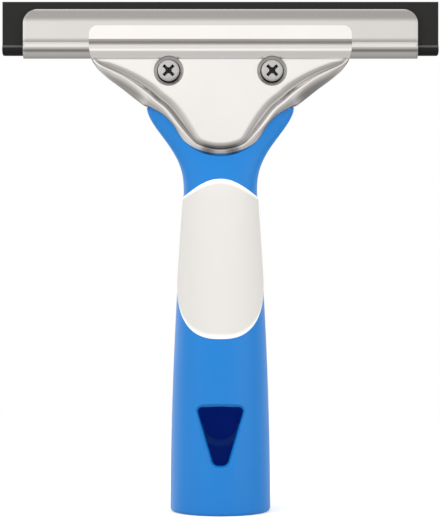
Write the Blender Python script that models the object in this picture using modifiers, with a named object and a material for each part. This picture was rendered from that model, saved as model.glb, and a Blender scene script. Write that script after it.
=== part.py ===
"""Window squeegee: a rubber blade in a folded channel, clamped by two pressed jaws on a moulded handle.

The origin is the centre of the handle's bottom rim. +Z runs up the handle to the blade, X runs along the
blade and the front faces -Y. All sizes are in metres.
"""

import math

import bmesh
import bpy
from mathutils import Matrix, Vector

OBJECT_NAME = "window_squeegee"

# Clearance between two pieces that touch, and how far a cutter runs past what it cuts
GAP = 0.0003
OVERCUT = 0.004

# Rubber blade with a round spine along its lower edge
BLADE_LENGTH = 0.1524
BLADE_THICKNESS = 0.0018
BLADE_REACH = 0.0027
SPINE_RADIUS = 0.00205

# Channel folded from one strip round the blade's spine
CHANNEL_LENGTH = 0.1378
CHANNEL_SHEET = 0.0007
CHANNEL_RISE = 0.0141
CHANNEL_CORNER = 0.0049
LIP_LEAN = 0.0006
LIP_LEAN_HEIGHT = 0.0035
NECK_HEIGHT = 0.0006
NECK_FOLD = 0.0007

# Pressed jaws
JAW_WIDTH = 0.0916
JAW_SHEET = 0.0010
JAW_LIP_HEIGHT = 0.0051
JAW_LIP_CORNER = 0.0030
JAW_END_SLANT = 0.0010
BULGE_ROOM = 0.00125
BULGE_SETTING = 0.00045
CRIMP_DEPTH = 0.00045
CRIMP_HEIGHT = 0.0009
PRESS_DEPTH = 0.0004
RIDGE_HEIGHT = 0.0011
RIDGE_SHOULDER = 0.0009
RIDGE_SHOULDER_DROP = 0.00035
FIELD_FADE = 0.0009
FIELD_MARGIN = 0.0005
FREE_EDGE_DEPTH = 0.0009
PAN_DEPTH = 0.0320
GROOVE_REACH = 0.0031
SKIRT_REACH = 0.0034
TONGUE_INSET = 0.0073

# The ridge round a jaw's pan, from the jaw's end to the foot of the pan. The first two numbers place a
# station: across, 1 is the tip of a wing and 2 the jaw's end, and down from the bar, 1 is the tip of a wing
# and 2 the foot of the pan. The other two are shares of the groove's and the skirt's reach.
RIDGE_STATIONS = (
    (1.921, 0.000, 0.226, 0.200),
    (1.822, 0.117, 0.290, 0.400),
    (1.629, 0.239, 0.452, 0.765),
    (1.351, 0.417, 0.645, 1.040),
    (0.992, 0.748, 1.000, 1.070),
    (0.949, 0.804, 1.000, 1.040),
    (0.883, 0.902, 1.000, 0.765),
    (0.746, 1.076, 1.000, 0.529),
    (0.594, 1.389, 1.000, 0.382),
    (0.457, 1.643, 0.710, 0.471),
    (0.328, 1.854, 0.419, 0.382),
    (0.156, 1.955, 0.419, 0.382),
    (0.000, 2.000, 0.516, 0.324),
)
RIDGE_RUN_IN = 1.5
GROOVE_RUN_IN = 2.0
FIRST_SEATED_STATION = 6
STATION_STEPS = 2

# Points between the groove and the crest of the ridge, as shares of the way across and of the rise
GROOVE_CURVE = ((0.62, 0.27), (0.30, 0.80))
SHOULDER_SHARE = 0.45

# A crest or a skirt narrower than this, in thicknesses of the sheet, is drawn thinner by the press
CREST_ROOM = 2.4
SKIRT_ROOM = 1.4

# Clamp screws and their nuts
SCREW_SPACING = 0.036
SCREW_DROP = 0.0041
SHANK_DIAMETER = 0.0040
HEAD_DIAMETER = 0.0075
HEAD_HEIGHT = 0.0022
HEAD_EDGE = 0.0004
DRIVE_SPAN = 0.0053
DRIVE_WIDTH = 0.0010
DRIVE_DEPTH = 0.0014
DRIVE_TAPER = 0.55
NUT_WIDTH = 0.0070
NUT_HEIGHT = 0.0032
THREAD_SHOWING = 0.0010
SEAT_MARGIN = 0.00005
SEAT_FLARE = 0.00135
SEAT_LIP = 0.0001

# Moulded handle
RIM_DIAMETER = 0.0349
RIM_ROUND = 0.0013
NECK_LEVEL = 0.111
NECK_WIDTH = 0.0257
NECK_DEPTH = 0.0196
BARREL_TAPER = 1.85
FLARE_POWER = 1.4
THINNING_POWER = 1.2
WING_RISE = 0.0303
WING_SPAN = 0.0516
WING_DEPTH = 0.0088
CLAMP_RISE = 0.0163

# Pole socket and its latch window
SOCKET_DEPTH = 0.058
SOCKET_WALL = 0.0031
SOCKET_STRAIGHT = 0.042
SOCKET_END_DIAMETER = 0.0226
MOUTH_CHAMFER = 0.0006
WINDOW_TOP = 0.0371
WINDOW_HEIGHT = 0.0200
WINDOW_WIDTH = 0.0164
WINDOW_FOOT_WIDTH = 0.0046
WINDOW_TOP_ROUND = 0.0015
WINDOW_FOOT_ROUND = 0.0022
WINDOW_BEVEL = 0.0013
LATCH_DIMPLE_DIAMETER = 0.0130
LATCH_DIMPLE_LEVEL = 0.0292
LATCH_DIMPLE_DEPTH = 0.0007

# Soft grip moulded over the handle
GRIP_SIDE_LOW = 0.0798
GRIP_SIDE_HIGH = 0.1098
GRIP_CROWN_RISE = 0.0061
GRIP_FOOT_DROP = 0.0194
GRIP_THICKNESS = 0.0014
GRIP_PROUD = 0.0001
GRIP_FOOT_POWER = 2.6

# Fineness of the faceted shapes
BARREL_RING_STEP = 0.0075
WING_RING_STEP = 0.0024
GRIP_RING_STEP = 0.0050
HANDLE_SIDES = 48
ROUND_SIDES = 32
ARC_STEPS = 6

# Sizes that follow from the ones above
BLADE_HALF = BLADE_THICKNESS / 2
LIP_INNER = BLADE_HALF + GAP
LIP_EDGE = LIP_INNER + CHANNEL_SHEET
CHANNEL_HALF = LIP_EDGE + LIP_LEAN
CHANNEL_RADIUS = SPINE_RADIUS + GAP + CHANNEL_SHEET
JAW_INNER = CHANNEL_HALF + GAP
JAW_OUTER = JAW_INNER + JAW_SHEET
BULGE_APEX = CHANNEL_RADIUS + BULGE_ROOM + JAW_SHEET
BULGE_SAGITTA = BULGE_APEX - JAW_OUTER
BULGE_HALF = CHANNEL_RADIUS
BULGE_RADIUS = (BULGE_HALF**2 + BULGE_SAGITTA**2) / (2 * BULGE_SAGITTA)
SEAT_LEVEL = JAW_OUTER - PRESS_DEPTH
TONGUE_HALF = JAW_INNER - PRESS_DEPTH - GAP
SEATED_EDGE_DEPTH = TONGUE_HALF + GAP + JAW_SHEET / 2
WING_TOP = NECK_LEVEL + WING_RISE
BAR_LEVEL = WING_TOP + CLAMP_RISE
BULGE_LEVEL = BAR_LEVEL + BULGE_HALF
SPINE_LEVEL = BULGE_LEVEL + BULGE_SETTING
CHANNEL_TOP = SPINE_LEVEL + CHANNEL_RISE
BLADE_TOP = CHANNEL_TOP + BLADE_REACH
LIP_TOP = BULGE_LEVEL + BULGE_HALF + JAW_LIP_HEIGHT
SCREW_LEVEL = BAR_LEVEL - SCREW_DROP
TONGUE_TOP = SPINE_LEVEL - CHANNEL_RADIUS - GAP
RIM_RADIUS = RIM_DIAMETER / 2
SOCKET_RADIUS = RIM_RADIUS - SOCKET_WALL
HOLE_RADIUS = SHANK_DIAMETER / 2 + GAP
SEAT_RADIUS = HEAD_DIAMETER / 2 + SEAT_MARGIN
TONGUE_TOP_HALF = JAW_WIDTH / 2 - TONGUE_INSET
SCREW_PLACES = (("left", -SCREW_SPACING / 2), ("right", SCREW_SPACING / 2))


def clear_scene():
    for obj in list(bpy.data.objects):
        bpy.data.objects.remove(obj, do_unlink=True)


def new_collection(name):
    collection = bpy.data.collections.new(name)
    bpy.context.scene.collection.children.link(collection)
    return collection


def smoothstep(t):
    t = min(max(t, 0.0), 1.0)
    return t * t * (3 - 2 * t)


def add_mesh(name, mesh, collection):
    obj = bpy.data.objects.new(name, mesh)
    collection.objects.link(obj)
    return obj


def close_mesh(bm, name, collection):
    """Turns every face of a closed bmesh outward and makes it an object."""
    bmesh.ops.recalc_face_normals(bm, faces=bm.faces)
    mesh = bpy.data.meshes.new(name)
    bm.to_mesh(mesh)
    bm.free()
    return add_mesh(name, mesh, collection)


def plate(name, outline, thickness, centre_y, collection):
    """A flat outline of X and Z points, extruded evenly along Y about centre_y."""
    curve = bpy.data.curves.new(name, "CURVE")
    curve.dimensions = "2D"
    curve.fill_mode = "BOTH"
    curve.extrude = thickness / 2
    spline = curve.splines.new("POLY")
    spline.points.add(len(outline) - 1)
    for point, (x, z) in zip(spline.points, outline):
        point.co = (x, z, 0, 1)
    spline.use_cyclic_u = True
    flat = bpy.data.objects.new(name, curve)
    flat.matrix_world = Matrix.Translation((0, centre_y, 0)) @ Matrix.Rotation(math.pi / 2, 4, "X")
    collection.objects.link(flat)
    bpy.context.view_layer.update()
    evaluated = flat.evaluated_get(bpy.context.evaluated_depsgraph_get())
    mesh = bpy.data.meshes.new_from_object(evaluated)
    mesh.transform(flat.matrix_world)
    bpy.data.objects.remove(flat, do_unlink=True)
    bm = bmesh.new()
    bm.from_mesh(mesh)
    bpy.data.meshes.remove(mesh)
    bmesh.ops.remove_doubles(bm, verts=bm.verts, dist=1e-6)
    bmesh.ops.dissolve_limit(bm, angle_limit=0.001, verts=bm.verts, edges=bm.edges)
    return close_mesh(bm, name, collection)


def loft(name, rings, collection):
    """A closed solid through rings that all have the same number of points."""
    bm = bmesh.new()
    loops = []
    for ring in rings:
        loops.append([bm.verts.new(point) for point in ring])
    for lower, upper in zip(loops, loops[1:]):
        for i in range(len(lower)):
            j = (i + 1) % len(lower)
            bm.faces.new((lower[i], lower[j], upper[j], upper[i]))
    bm.faces.new(loops[0])
    bm.faces.new(loops[-1])
    return close_mesh(bm, name, collection)


def turned(name, profile, collection):
    """A profile of radius and height points, given top to bottom, turned about Z."""
    mesh = bpy.data.meshes.new(name)
    edges = [(i, i + 1) for i in range(len(profile) - 1)]
    mesh.from_pydata([(radius, 0, height) for radius, height in profile], edges, [])
    obj = add_mesh(name, mesh, collection)
    screw = obj.modifiers.new("Turn", "SCREW")
    screw.steps = ROUND_SIDES
    screw.render_steps = ROUND_SIDES
    screw.use_merge_vertices = True
    screw.merge_threshold = 0.00001
    return obj


def peg(name, radius, start_y, end_y, x, z, collection):
    """A cylinder along Y."""
    bm = bmesh.new()
    centre = Matrix.Translation((x, (start_y + end_y) / 2, z)) @ Matrix.Rotation(math.pi / 2, 4, "X")
    bmesh.ops.create_cone(
        bm,
        cap_ends=True,
        segments=ROUND_SIDES,
        radius1=radius,
        radius2=radius,
        depth=abs(end_y - start_y),
        matrix=centre,
    )
    return close_mesh(bm, name, collection)


def as_cutter(obj):
    obj.hide_render = True
    obj.display_type = "WIRE"
    return obj


def boolean(obj, other, operation):
    modifier = obj.modifiers.new(f"{operation.title()} {other.name}", "BOOLEAN")
    modifier.operation = operation
    modifier.solver = "EXACT"
    modifier.object = other


def material(name, colour, roughness, metallic=0.0):
    made = bpy.data.materials.new(name)
    made.use_nodes = True
    shader = made.node_tree.nodes["Principled BSDF"]
    shader.inputs["Base Color"].default_value = (*colour, 1.0)
    shader.inputs["Roughness"].default_value = roughness
    shader.inputs["Metallic"].default_value = metallic
    made.diffuse_color = (*colour, 1.0)
    return made


def blue_plastic():
    return material("blue_polypropylene", (0.03, 0.24, 0.65), 0.38)


def white_elastomer():
    return material("white_elastomer", (0.80, 0.78, 0.75), 0.6)


def jaw_steel():
    return material("pressed_stainless", (0.82, 0.80, 0.78), 0.32, 1.0)


def channel_steel():
    return material("folded_stainless", (0.70, 0.69, 0.67), 0.3, 1.0)


def screw_steel():
    return material("zinc_plated_steel", (0.60, 0.60, 0.60), 0.35, 1.0)


def black_rubber():
    return material("black_rubber", (0.02, 0.019, 0.018), 0.55)


def finish(obj, look):
    """Gives a piece its material and smooth shading with crisp edges."""
    obj.data.materials.clear()
    obj.data.materials.append(look)
    obj.data.shade_smooth()
    obj.data.set_sharp_from_angle(angle=math.radians(35))


def barrel_share(level):
    return min(max(level / NECK_LEVEL, 0.0), 1.0) ** BARREL_TAPER


def half_width(level):
    """Half width of the handle at a level, flaring above the neck into the wings."""
    neck = NECK_WIDTH / 2
    if level <= NECK_LEVEL:
        return RIM_RADIUS + (neck - RIM_RADIUS) * barrel_share(level)
    flare = smoothstep(((level - NECK_LEVEL) / WING_RISE) ** FLARE_POWER)
    return neck + (WING_SPAN / 2 - neck) * flare


def half_depth(level):
    """Half depth of the handle at a level, thinning above the neck towards the jaws."""
    neck = NECK_DEPTH / 2
    if level <= NECK_LEVEL:
        return RIM_RADIUS + (neck - RIM_RADIUS) * barrel_share(level)
    thinning = 1 - (1 - ((level - NECK_LEVEL) / WING_RISE) ** THINNING_POWER) ** 2
    return neck + (WING_DEPTH / 2 - neck) * thinning


def squareness(level):
    """Exponent of the section: 2 is an ellipse, and more is squarer."""
    return 2.0 + 0.25 * smoothstep(level / NECK_LEVEL) + 0.75 * smoothstep((level - NECK_LEVEL) / WING_RISE)


def handle_ring(level, inset=0.0, height=None):
    """The handle's section at a level, drawn in by inset, placed at height if that is given."""
    power = 2 / squareness(level)
    ring = []
    for i in range(HANDLE_SIDES):
        angle = 2 * math.pi * i / HANDLE_SIDES
        c = math.cos(angle)
        s = math.sin(angle)
        x = math.copysign(abs(c) ** power, c) * (half_width(level) - inset)
        y = math.copysign(abs(s) ** power, s) * (half_depth(level) - inset)
        ring.append(Vector((x, y, level if height is None else height)))
    return ring


def levels(start, end, step):
    count = max(1, round((end - start) / step))
    return [start + (end - start) * i / count for i in range(count + 1)]


def handle_form(collection):
    """The outer form of the handle, from the rounded bottom rim to the tips of the wings."""
    rings = []
    for i in range(3):
        angle = math.pi / 2 * i / 3
        inset = RIM_ROUND * (1 - math.sin(angle))
        rings.append(handle_ring(0.0, inset, RIM_ROUND * (1 - math.cos(angle))))
    for level in levels(RIM_ROUND, NECK_LEVEL, BARREL_RING_STEP):
        rings.append(handle_ring(level))
    for level in levels(NECK_LEVEL, WING_TOP, WING_RING_STEP)[1:]:
        rings.append(handle_ring(level))
    return loft("handle_body", rings, collection)


def handle_core(name, inset, collection):
    """The handle's form round the grip, drawn in by inset."""
    low = GRIP_SIDE_LOW - GRIP_FOOT_DROP - OVERCUT
    high = min(GRIP_SIDE_HIGH + GRIP_CROWN_RISE + OVERCUT, WING_TOP)
    rings = [handle_ring(level, inset) for level in levels(low, high, GRIP_RING_STEP)]
    return as_cutter(loft(name, rings, collection))


def grip_outline(grow):
    """Front outline of the grip, made larger all round by grow."""
    side = RIM_RADIUS + OVERCUT
    low = GRIP_SIDE_LOW - grow
    high = GRIP_SIDE_HIGH + grow
    foot_half = half_width(GRIP_SIDE_LOW) + GRIP_PROUD + grow
    crown_half = half_width(GRIP_SIDE_HIGH) + GRIP_PROUD + grow
    steps = 3 * ARC_STEPS
    outline = [(side, low - GAP)]
    for i in range(steps + 1):
        angle = math.pi * i / steps
        c = math.cos(angle)
        power = 2 / GRIP_FOOT_POWER
        x = math.copysign(abs(c) ** power, c) * foot_half
        z = low - GRIP_FOOT_DROP * math.sin(angle) ** power
        outline.append((x, z))
    outline.append((-side, low - GAP))
    outline.append((-side, high + GAP))
    for i in range(steps + 1):
        share = 2 * i / steps - 1
        z = high + GRIP_CROWN_RISE * math.cos(math.pi / 2 * share)
        outline.append((share * crown_half, z))
    outline.append((side, high + GAP))
    return outline


def socket_cutter(collection):
    """The pole socket: a mouth with a chamfer, a straight run and a taper to a flat end."""
    profile = [
        (0, SOCKET_DEPTH),
        (SOCKET_END_DIAMETER / 2, SOCKET_DEPTH),
        (SOCKET_RADIUS, SOCKET_STRAIGHT),
        (SOCKET_RADIUS, MOUTH_CHAMFER),
        (SOCKET_RADIUS + MOUTH_CHAMFER + OVERCUT, -OVERCUT),
        (0, -OVERCUT),
    ]
    return as_cutter(turned("cut_socket", profile, collection))


def rounded_corner(corner, before, after, radius):
    """Points of the arc that rounds a corner between two straight sides."""
    corner = Vector(corner)
    to_before = (Vector(before) - corner).normalized()
    to_after = (Vector(after) - corner).normalized()
    half_angle = to_before.angle(to_after) / 2
    centre = corner + (to_before + to_after).normalized() * radius / math.sin(half_angle)
    first = corner + to_before * radius / math.tan(half_angle)
    last = corner + to_after * radius / math.tan(half_angle)
    points = []
    for i in range(ARC_STEPS + 1):
        share = i / ARC_STEPS
        arm = (first - centre).slerp(last - centre, share)
        points.append(centre + arm.normalized() * radius)
    return points


def window_outline(grow):
    """The latch window: a triangle with its point down and all corners rounded, grown all round."""
    top = WINDOW_TOP + grow
    foot = WINDOW_TOP - WINDOW_HEIGHT - grow
    half_top = WINDOW_WIDTH / 2 + grow
    half_foot = WINDOW_FOOT_WIDTH / 2 + grow
    corners = [
        ((-half_top, top), WINDOW_TOP_ROUND + grow),
        ((-half_foot, foot), WINDOW_FOOT_ROUND + grow / 2),
        ((half_foot, foot), WINDOW_FOOT_ROUND + grow / 2),
        ((half_top, top), WINDOW_TOP_ROUND + grow),
    ]
    points = []
    for i, (corner, radius) in enumerate(corners):
        before = corners[i - 1][0]
        after = corners[(i + 1) % len(corners)][0]
        points += rounded_corner(corner, before, after, radius)
    return points


def window_cutter(collection):
    """Cuts the latch window through the front wall, with a bevel round its outer edge."""
    surface = -half_depth(WINDOW_TOP - WINDOW_HEIGHT / 2)
    stages = [
        (surface - OVERCUT, WINDOW_BEVEL),
        (surface - GAP, WINDOW_BEVEL),
        (surface + 2 * WINDOW_BEVEL, 0.0),
        (surface + SOCKET_WALL + OVERCUT, 0.0),
    ]
    rings = []
    for y, grow in stages:
        rings.append([Vector((x, y, z)) for x, z in window_outline(grow)])
    return as_cutter(loft("cut_latch_window", rings, collection))


def dimple_cutter(collection):
    """A shallow round dimple inside the back wall, opposite the latch window."""
    start = SOCKET_RADIUS - OVERCUT
    end = SOCKET_RADIUS + LATCH_DIMPLE_DEPTH
    radius = LATCH_DIMPLE_DIAMETER / 2
    return as_cutter(peg("cut_latch_dimple", radius, start, end, 0, LATCH_DIMPLE_LEVEL, collection))


def span(share, first, last):
    """A place along two spans that meet at first: share 1 is first and share 2 is last."""
    return share * first if share <= 1 else first + (share - 1) * (last - first)


def ridge_station(across, down, groove, skirt):
    """One station on the left side of a jaw as (x, z, width to groove, width to edge)."""
    x = span(across, WING_SPAN / 2, JAW_WIDTH / 2)
    drop = span(down, CLAMP_RISE, PAN_DEPTH)
    return Vector((-x, BAR_LEVEL - drop, groove * GROOVE_REACH, skirt * SKIRT_REACH))


def ridge_samples():
    """Smooth samples of the ridge: point, outward direction, groove width, edge width, station."""
    rows = [ridge_station(*station) for station in RIDGE_STATIONS]
    before = Vector((rows[0][0], 2 * rows[0][1] - rows[1][1], *rows[1][2:]))
    after = Vector((-rows[-2][0], rows[-2][1], *rows[-2][2:]))
    rows = [before, *rows, after]
    samples = []
    for i in range(1, len(rows) - 2):
        for k in range(STATION_STEPS):
            samples.append(spline_sample(rows, i, k / STATION_STEPS))
    samples.append(spline_sample(rows, len(rows) - 3, 1.0))
    return samples


def spline_sample(rows, i, t):
    """A point of the smooth curve through rows, spaced by its chords, with its outward direction."""
    a, b, c, d = rows[i - 1 : i + 3]
    before = (b - a).xy.length
    here = (c - b).xy.length
    after = (d - c).xy.length
    start = ((b - a) * here / before + (c - b) * before / here) / (before + here) * here
    end = ((c - b) * after / here + (d - c) * here / after) / (here + after) * here
    point = b * (2 * t**3 - 3 * t**2 + 1) + c * (3 * t**2 - 2 * t**3)
    point += start * (t**3 - 2 * t**2 + t) + end * (t**3 - t**2)
    slope = (c - b) * (6 * t - 6 * t**2)
    slope += start * (3 * t**2 - 4 * t + 1) + end * (3 * t**2 - 2 * t)
    tangent = slope.xy.normalized()
    outward = Vector((tangent[1], -tangent[0]))
    return point.xy, outward, point[2], point[3], i - 1 + t


def edge_depth(station):
    """Distance of the jaw's free edge from the middle plane, which steps over the wing tips."""
    if station >= FIRST_SEATED_STATION:
        return SEATED_EDGE_DEPTH
    return FREE_EDGE_DEPTH


def groove_direction(outward, station):
    """The way from the ridge to the field: along the bar's foot at first, then square to the ridge."""
    turned_in = Vector((1.0, 0.0)).lerp(-outward, smoothstep(station / GROOVE_RUN_IN))
    return turned_in / turned_in.dot(-outward)


def pan_row(sample):
    """The points across the pan's rim at one sample, from the field out to the free edge."""
    point, outward, groove, edge, station = sample
    fade = smoothstep(station / RIDGE_RUN_IN)
    crest = JAW_OUTER + RIDGE_HEIGHT
    hollow = JAW_OUTER - PRESS_DEPTH
    field_edge = -groove - min(FIELD_FADE, groove)
    offsets = [(field_edge - FIELD_MARGIN, JAW_OUTER), (field_edge, JAW_OUTER), (-groove, hollow)]
    for share, rise in GROOVE_CURVE:
        offsets.append((-share * groove, hollow + rise * (crest - hollow)))
    offsets.append((0.0, crest))
    offsets.append((min(RIDGE_SHOULDER, SHOULDER_SHARE * edge), crest - RIDGE_SHOULDER_DROP))
    offsets.append((edge, edge_depth(station)))
    inward = groove_direction(outward, station)
    row = []
    for offset, depth in offsets:
        place = point + outward * offset if offset > 0 else point - inward * offset
        row.append(Vector((place[0], -(JAW_OUTER + (depth - JAW_OUTER) * fade), place[1])))
    return row


def drawn_thickness(sample):
    """Shares of the sheet's thickness that the press leaves at the ridge's crest and at the free edge."""
    _point, _outward, groove, edge, _station = sample
    crest = GROOVE_CURVE[-1][0] * groove + min(RIDGE_SHOULDER, SHOULDER_SHARE * edge)
    return min(crest / (CREST_ROOM * JAW_SHEET), 1.0), min(edge / (SKIRT_ROOM * JAW_SHEET), 1.0)


def bar_profile():
    """The bar's section from the lip's top down to the field, as depth and level points."""
    centre = BULGE_APEX - BULGE_RADIUS
    crimp = JAW_OUTER - CRIMP_DEPTH
    crimp_angle = math.acos((crimp - centre) / BULGE_RADIUS)
    foot_angle = -math.asin(BULGE_HALF / BULGE_RADIUS)
    crimp_level = BULGE_LEVEL + BULGE_RADIUS * math.sin(crimp_angle)
    profile = []
    for i in range(4):
        angle = math.pi / 2 * i / 3
        profile.append((JAW_OUTER, LIP_TOP - JAW_LIP_CORNER * (1 - math.cos(angle))))
    profile.append((JAW_OUTER, crimp_level + CRIMP_HEIGHT))
    for i in range(ARC_STEPS + 3):
        angle = crimp_angle + (foot_angle - crimp_angle) * i / (ARC_STEPS + 2)
        level = BULGE_LEVEL + BULGE_RADIUS * math.sin(angle)
        profile.append((centre + BULGE_RADIUS * math.cos(angle), level))
    return profile


def bar_half_length(level):
    """Half length of the bar, rounded at the lip's corners and drawn in towards the field."""
    half = JAW_WIDTH / 2
    into_corner = level - (LIP_TOP - JAW_LIP_CORNER)
    if into_corner > 0:
        reach = math.sqrt(max(JAW_LIP_CORNER**2 - into_corner**2, 0.0))
        return half - JAW_LIP_CORNER + reach
    into_bulge = max(BULGE_LEVEL + BULGE_HALF - level, 0.0) / (2 * BULGE_HALF)
    return half - JAW_END_SLANT * into_bulge**2


def jaw(name, facing, collection):
    """One pressed jaw: bar with lip and bulge, flat field, groove, ridge and skirt, all of one sheet."""
    samples = ridge_samples()
    rows = [pan_row(sample) for sample in samples]
    bm = bmesh.new()
    thickness = bm.verts.layers.deform.verify()
    pan = [[bm.verts.new(point) for point in row] for row in rows]
    for row in pan[-1]:
        row.co.x = 0.0
    for upper, lower in zip(pan, pan[1:]):
        for k in range(len(upper) - 1):
            bm.faces.new((upper[k], upper[k + 1], lower[k + 1], lower[k]))
    top_row = [Vector((0.0, -JAW_OUTER, BAR_LEVEL)), *rows[0]]
    columns = [abs(point.x / rows[0][-1].x) for point in top_row]
    bar = []
    for depth, level in bar_profile():
        half = bar_half_length(level)
        bar.append([bm.verts.new((-share * half, -depth, level)) for share in columns])
    for vert, point in zip(bar[-1], top_row):
        vert.co = point
    for upper, lower in zip(bar, bar[1:]):
        for k in range(len(columns) - 1):
            bm.faces.new((upper[k], upper[k + 1], lower[k + 1], lower[k]))
    field = [bar[-1][0], *[row[0] for row in pan]]
    bm.faces.new(field)
    for vert in bm.verts:
        vert[thickness][0] = 1.0
    for sample, row in zip(samples, pan):
        crest, edge = drawn_thickness(sample)
        for vert in row[len(GROOVE_CURVE) + 2 : -1]:
            vert[thickness][0] = crest
        row[-1][thickness][0] = edge
    bmesh.ops.remove_doubles(bm, verts=bm.verts, dist=1e-6)
    bmesh.ops.recalc_face_normals(bm, faces=bm.faces)
    widest = max(bm.faces, key=lambda face: face.calc_area())
    if widest.normal.y > 0:
        bmesh.ops.reverse_faces(bm, faces=bm.faces)
    if facing == "back":
        bmesh.ops.rotate(bm, verts=bm.verts, cent=(0, 0, 0), matrix=Matrix.Rotation(math.pi, 3, "Z"))
    mesh = bpy.data.meshes.new(name)
    bm.to_mesh(mesh)
    bm.free()
    obj = add_mesh(name, mesh, collection)
    mirror = obj.modifiers.new("Mirror", "MIRROR")
    mirror.merge_threshold = 0.00001
    obj.vertex_groups.new(name="Sheet thickness")
    solid = obj.modifiers.new("Sheet", "SOLIDIFY")
    solid.thickness = JAW_SHEET
    solid.offset = -1.0
    solid.use_even_offset = True
    solid.vertex_group = "Sheet thickness"
    return obj


def seat_cutter(name, side, x, collection):
    """The pressed seat round a screw: a flared round recess in the face of a jaw."""
    stages = [
        (SEAT_LEVEL, SEAT_RADIUS),
        (JAW_OUTER + SEAT_LIP, SEAT_RADIUS + SEAT_FLARE),
        (BULGE_APEX + GAP, SEAT_RADIUS + SEAT_FLARE),
    ]
    rings = []
    for depth, radius in stages:
        ring = []
        for i in range(ROUND_SIDES):
            angle = 2 * math.pi * i / ROUND_SIDES
            z = SCREW_LEVEL + radius * math.sin(angle)
            ring.append(Vector((x + radius * math.cos(angle), side * depth, z)))
        rings.append(ring)
    return as_cutter(loft(name, rings, collection))


def seat_pad(name, side, x, collection):
    """The sheet pushed in behind a pressed seat."""
    return as_cutter(
        peg(
            name,
            SEAT_RADIUS,
            side * (JAW_INNER - PRESS_DEPTH),
            side * (SEAT_LEVEL + PRESS_DEPTH / 2),
            x,
            SCREW_LEVEL,
            collection,
        )
    )


def press_seats(obj, side, collection):
    for hand, x in SCREW_PLACES:
        boolean(obj, seat_pad(f"pad_{obj.name}_{hand}", side, x, collection), "UNION")
        boolean(obj, seat_cutter(f"cut_{obj.name}_seat_{hand}", side, x, collection), "DIFFERENCE")


def screw_holes(collection):
    """Cutters for the two screws, right through the head."""
    reach = BULGE_APEX + OVERCUT
    holes = []
    for hand, x in SCREW_PLACES:
        hole = peg(f"cut_screw_hole_{hand}", HOLE_RADIUS, -reach, reach, x, SCREW_LEVEL, collection)
        holes.append(as_cutter(hole))
    return holes


def edge_outline(grow):
    """The jaws' free edge seen from the front, grown outward, closed above the wings."""
    half = []
    for point, outward, _groove, edge, _station in ridge_samples():
        half.append(point + outward * (edge + grow))
    half[-1].x = 0.0
    left = [(point[0], point[1]) for point in half]
    right = [(-x, z) for x, z in reversed(left[:-1])]
    return left + right


def field_outline():
    """The flat field of the jaws, which the handle's tongue fills."""
    left = [(-TONGUE_TOP_HALF, TONGUE_TOP)]
    for sample in ridge_samples():
        place = pan_row(sample)[0]
        if place.z < TONGUE_TOP - GAP and abs(place.x) < TONGUE_TOP_HALF:
            left.append((place.x, place.z))
    right = [(-x, z) for x, z in reversed(left) if x < 0]
    return left + right


def tongue(collection):
    """The flat tongue between the jaws that carries the screws."""
    return as_cutter(plate("join_tongue", field_outline(), 2 * TONGUE_HALF, 0.0, collection))


def jaw_pocket(side, collection):
    """The pocket in which a jaw's lower edge sits."""
    name = "cut_front_pocket" if side < 0 else "cut_back_pocket"
    thickness = RIM_RADIUS
    centre = side * (TONGUE_HALF + thickness / 2)
    return as_cutter(plate(name, edge_outline(GAP), thickness, centre, collection))


def grip_recess(collection):
    """The recess round the handle that the soft grip fills."""
    depth = 2 * (RIM_RADIUS + OVERCUT)
    cutter = as_cutter(plate("cut_grip_recess", grip_outline(GAP), depth, 0.0, collection))
    boolean(cutter, handle_core("recess_floor", GRIP_THICKNESS + GAP, collection), "DIFFERENCE")
    return cutter


def build_handle(parts, cutters):
    body = handle_form(parts)
    boolean(body, tongue(cutters), "UNION")
    boolean(body, jaw_pocket(-1, cutters), "DIFFERENCE")
    boolean(body, jaw_pocket(1, cutters), "DIFFERENCE")
    boolean(body, grip_recess(cutters), "DIFFERENCE")
    boolean(body, socket_cutter(cutters), "DIFFERENCE")
    boolean(body, window_cutter(cutters), "DIFFERENCE")
    boolean(body, dimple_cutter(cutters), "DIFFERENCE")
    for hole in screw_holes(cutters):
        boolean(body, hole, "DIFFERENCE")
    finish(body, blue_plastic())


def build_grip(parts, cutters):
    depth = 2 * (RIM_RADIUS + OVERCUT)
    grip = plate("grip_sleeve", grip_outline(0.0), depth, 0.0, parts)
    boolean(grip, handle_core("grip_skin", -GRIP_PROUD, cutters), "INTERSECT")
    boolean(grip, handle_core("grip_inside", GRIP_THICKNESS, cutters), "DIFFERENCE")
    finish(grip, white_elastomer())


def build_jaws(parts, cutters):
    steel = jaw_steel()
    for name, facing, side in (("front_jaw", "front", -1), ("back_jaw", "back", 1)):
        obj = jaw(name, facing, parts)
        press_seats(obj, side, cutters)
        for hand, _x in SCREW_PLACES:
            boolean(obj, bpy.data.objects[f"cut_screw_hole_{hand}"], "DIFFERENCE")
        finish(obj, steel)


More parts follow.
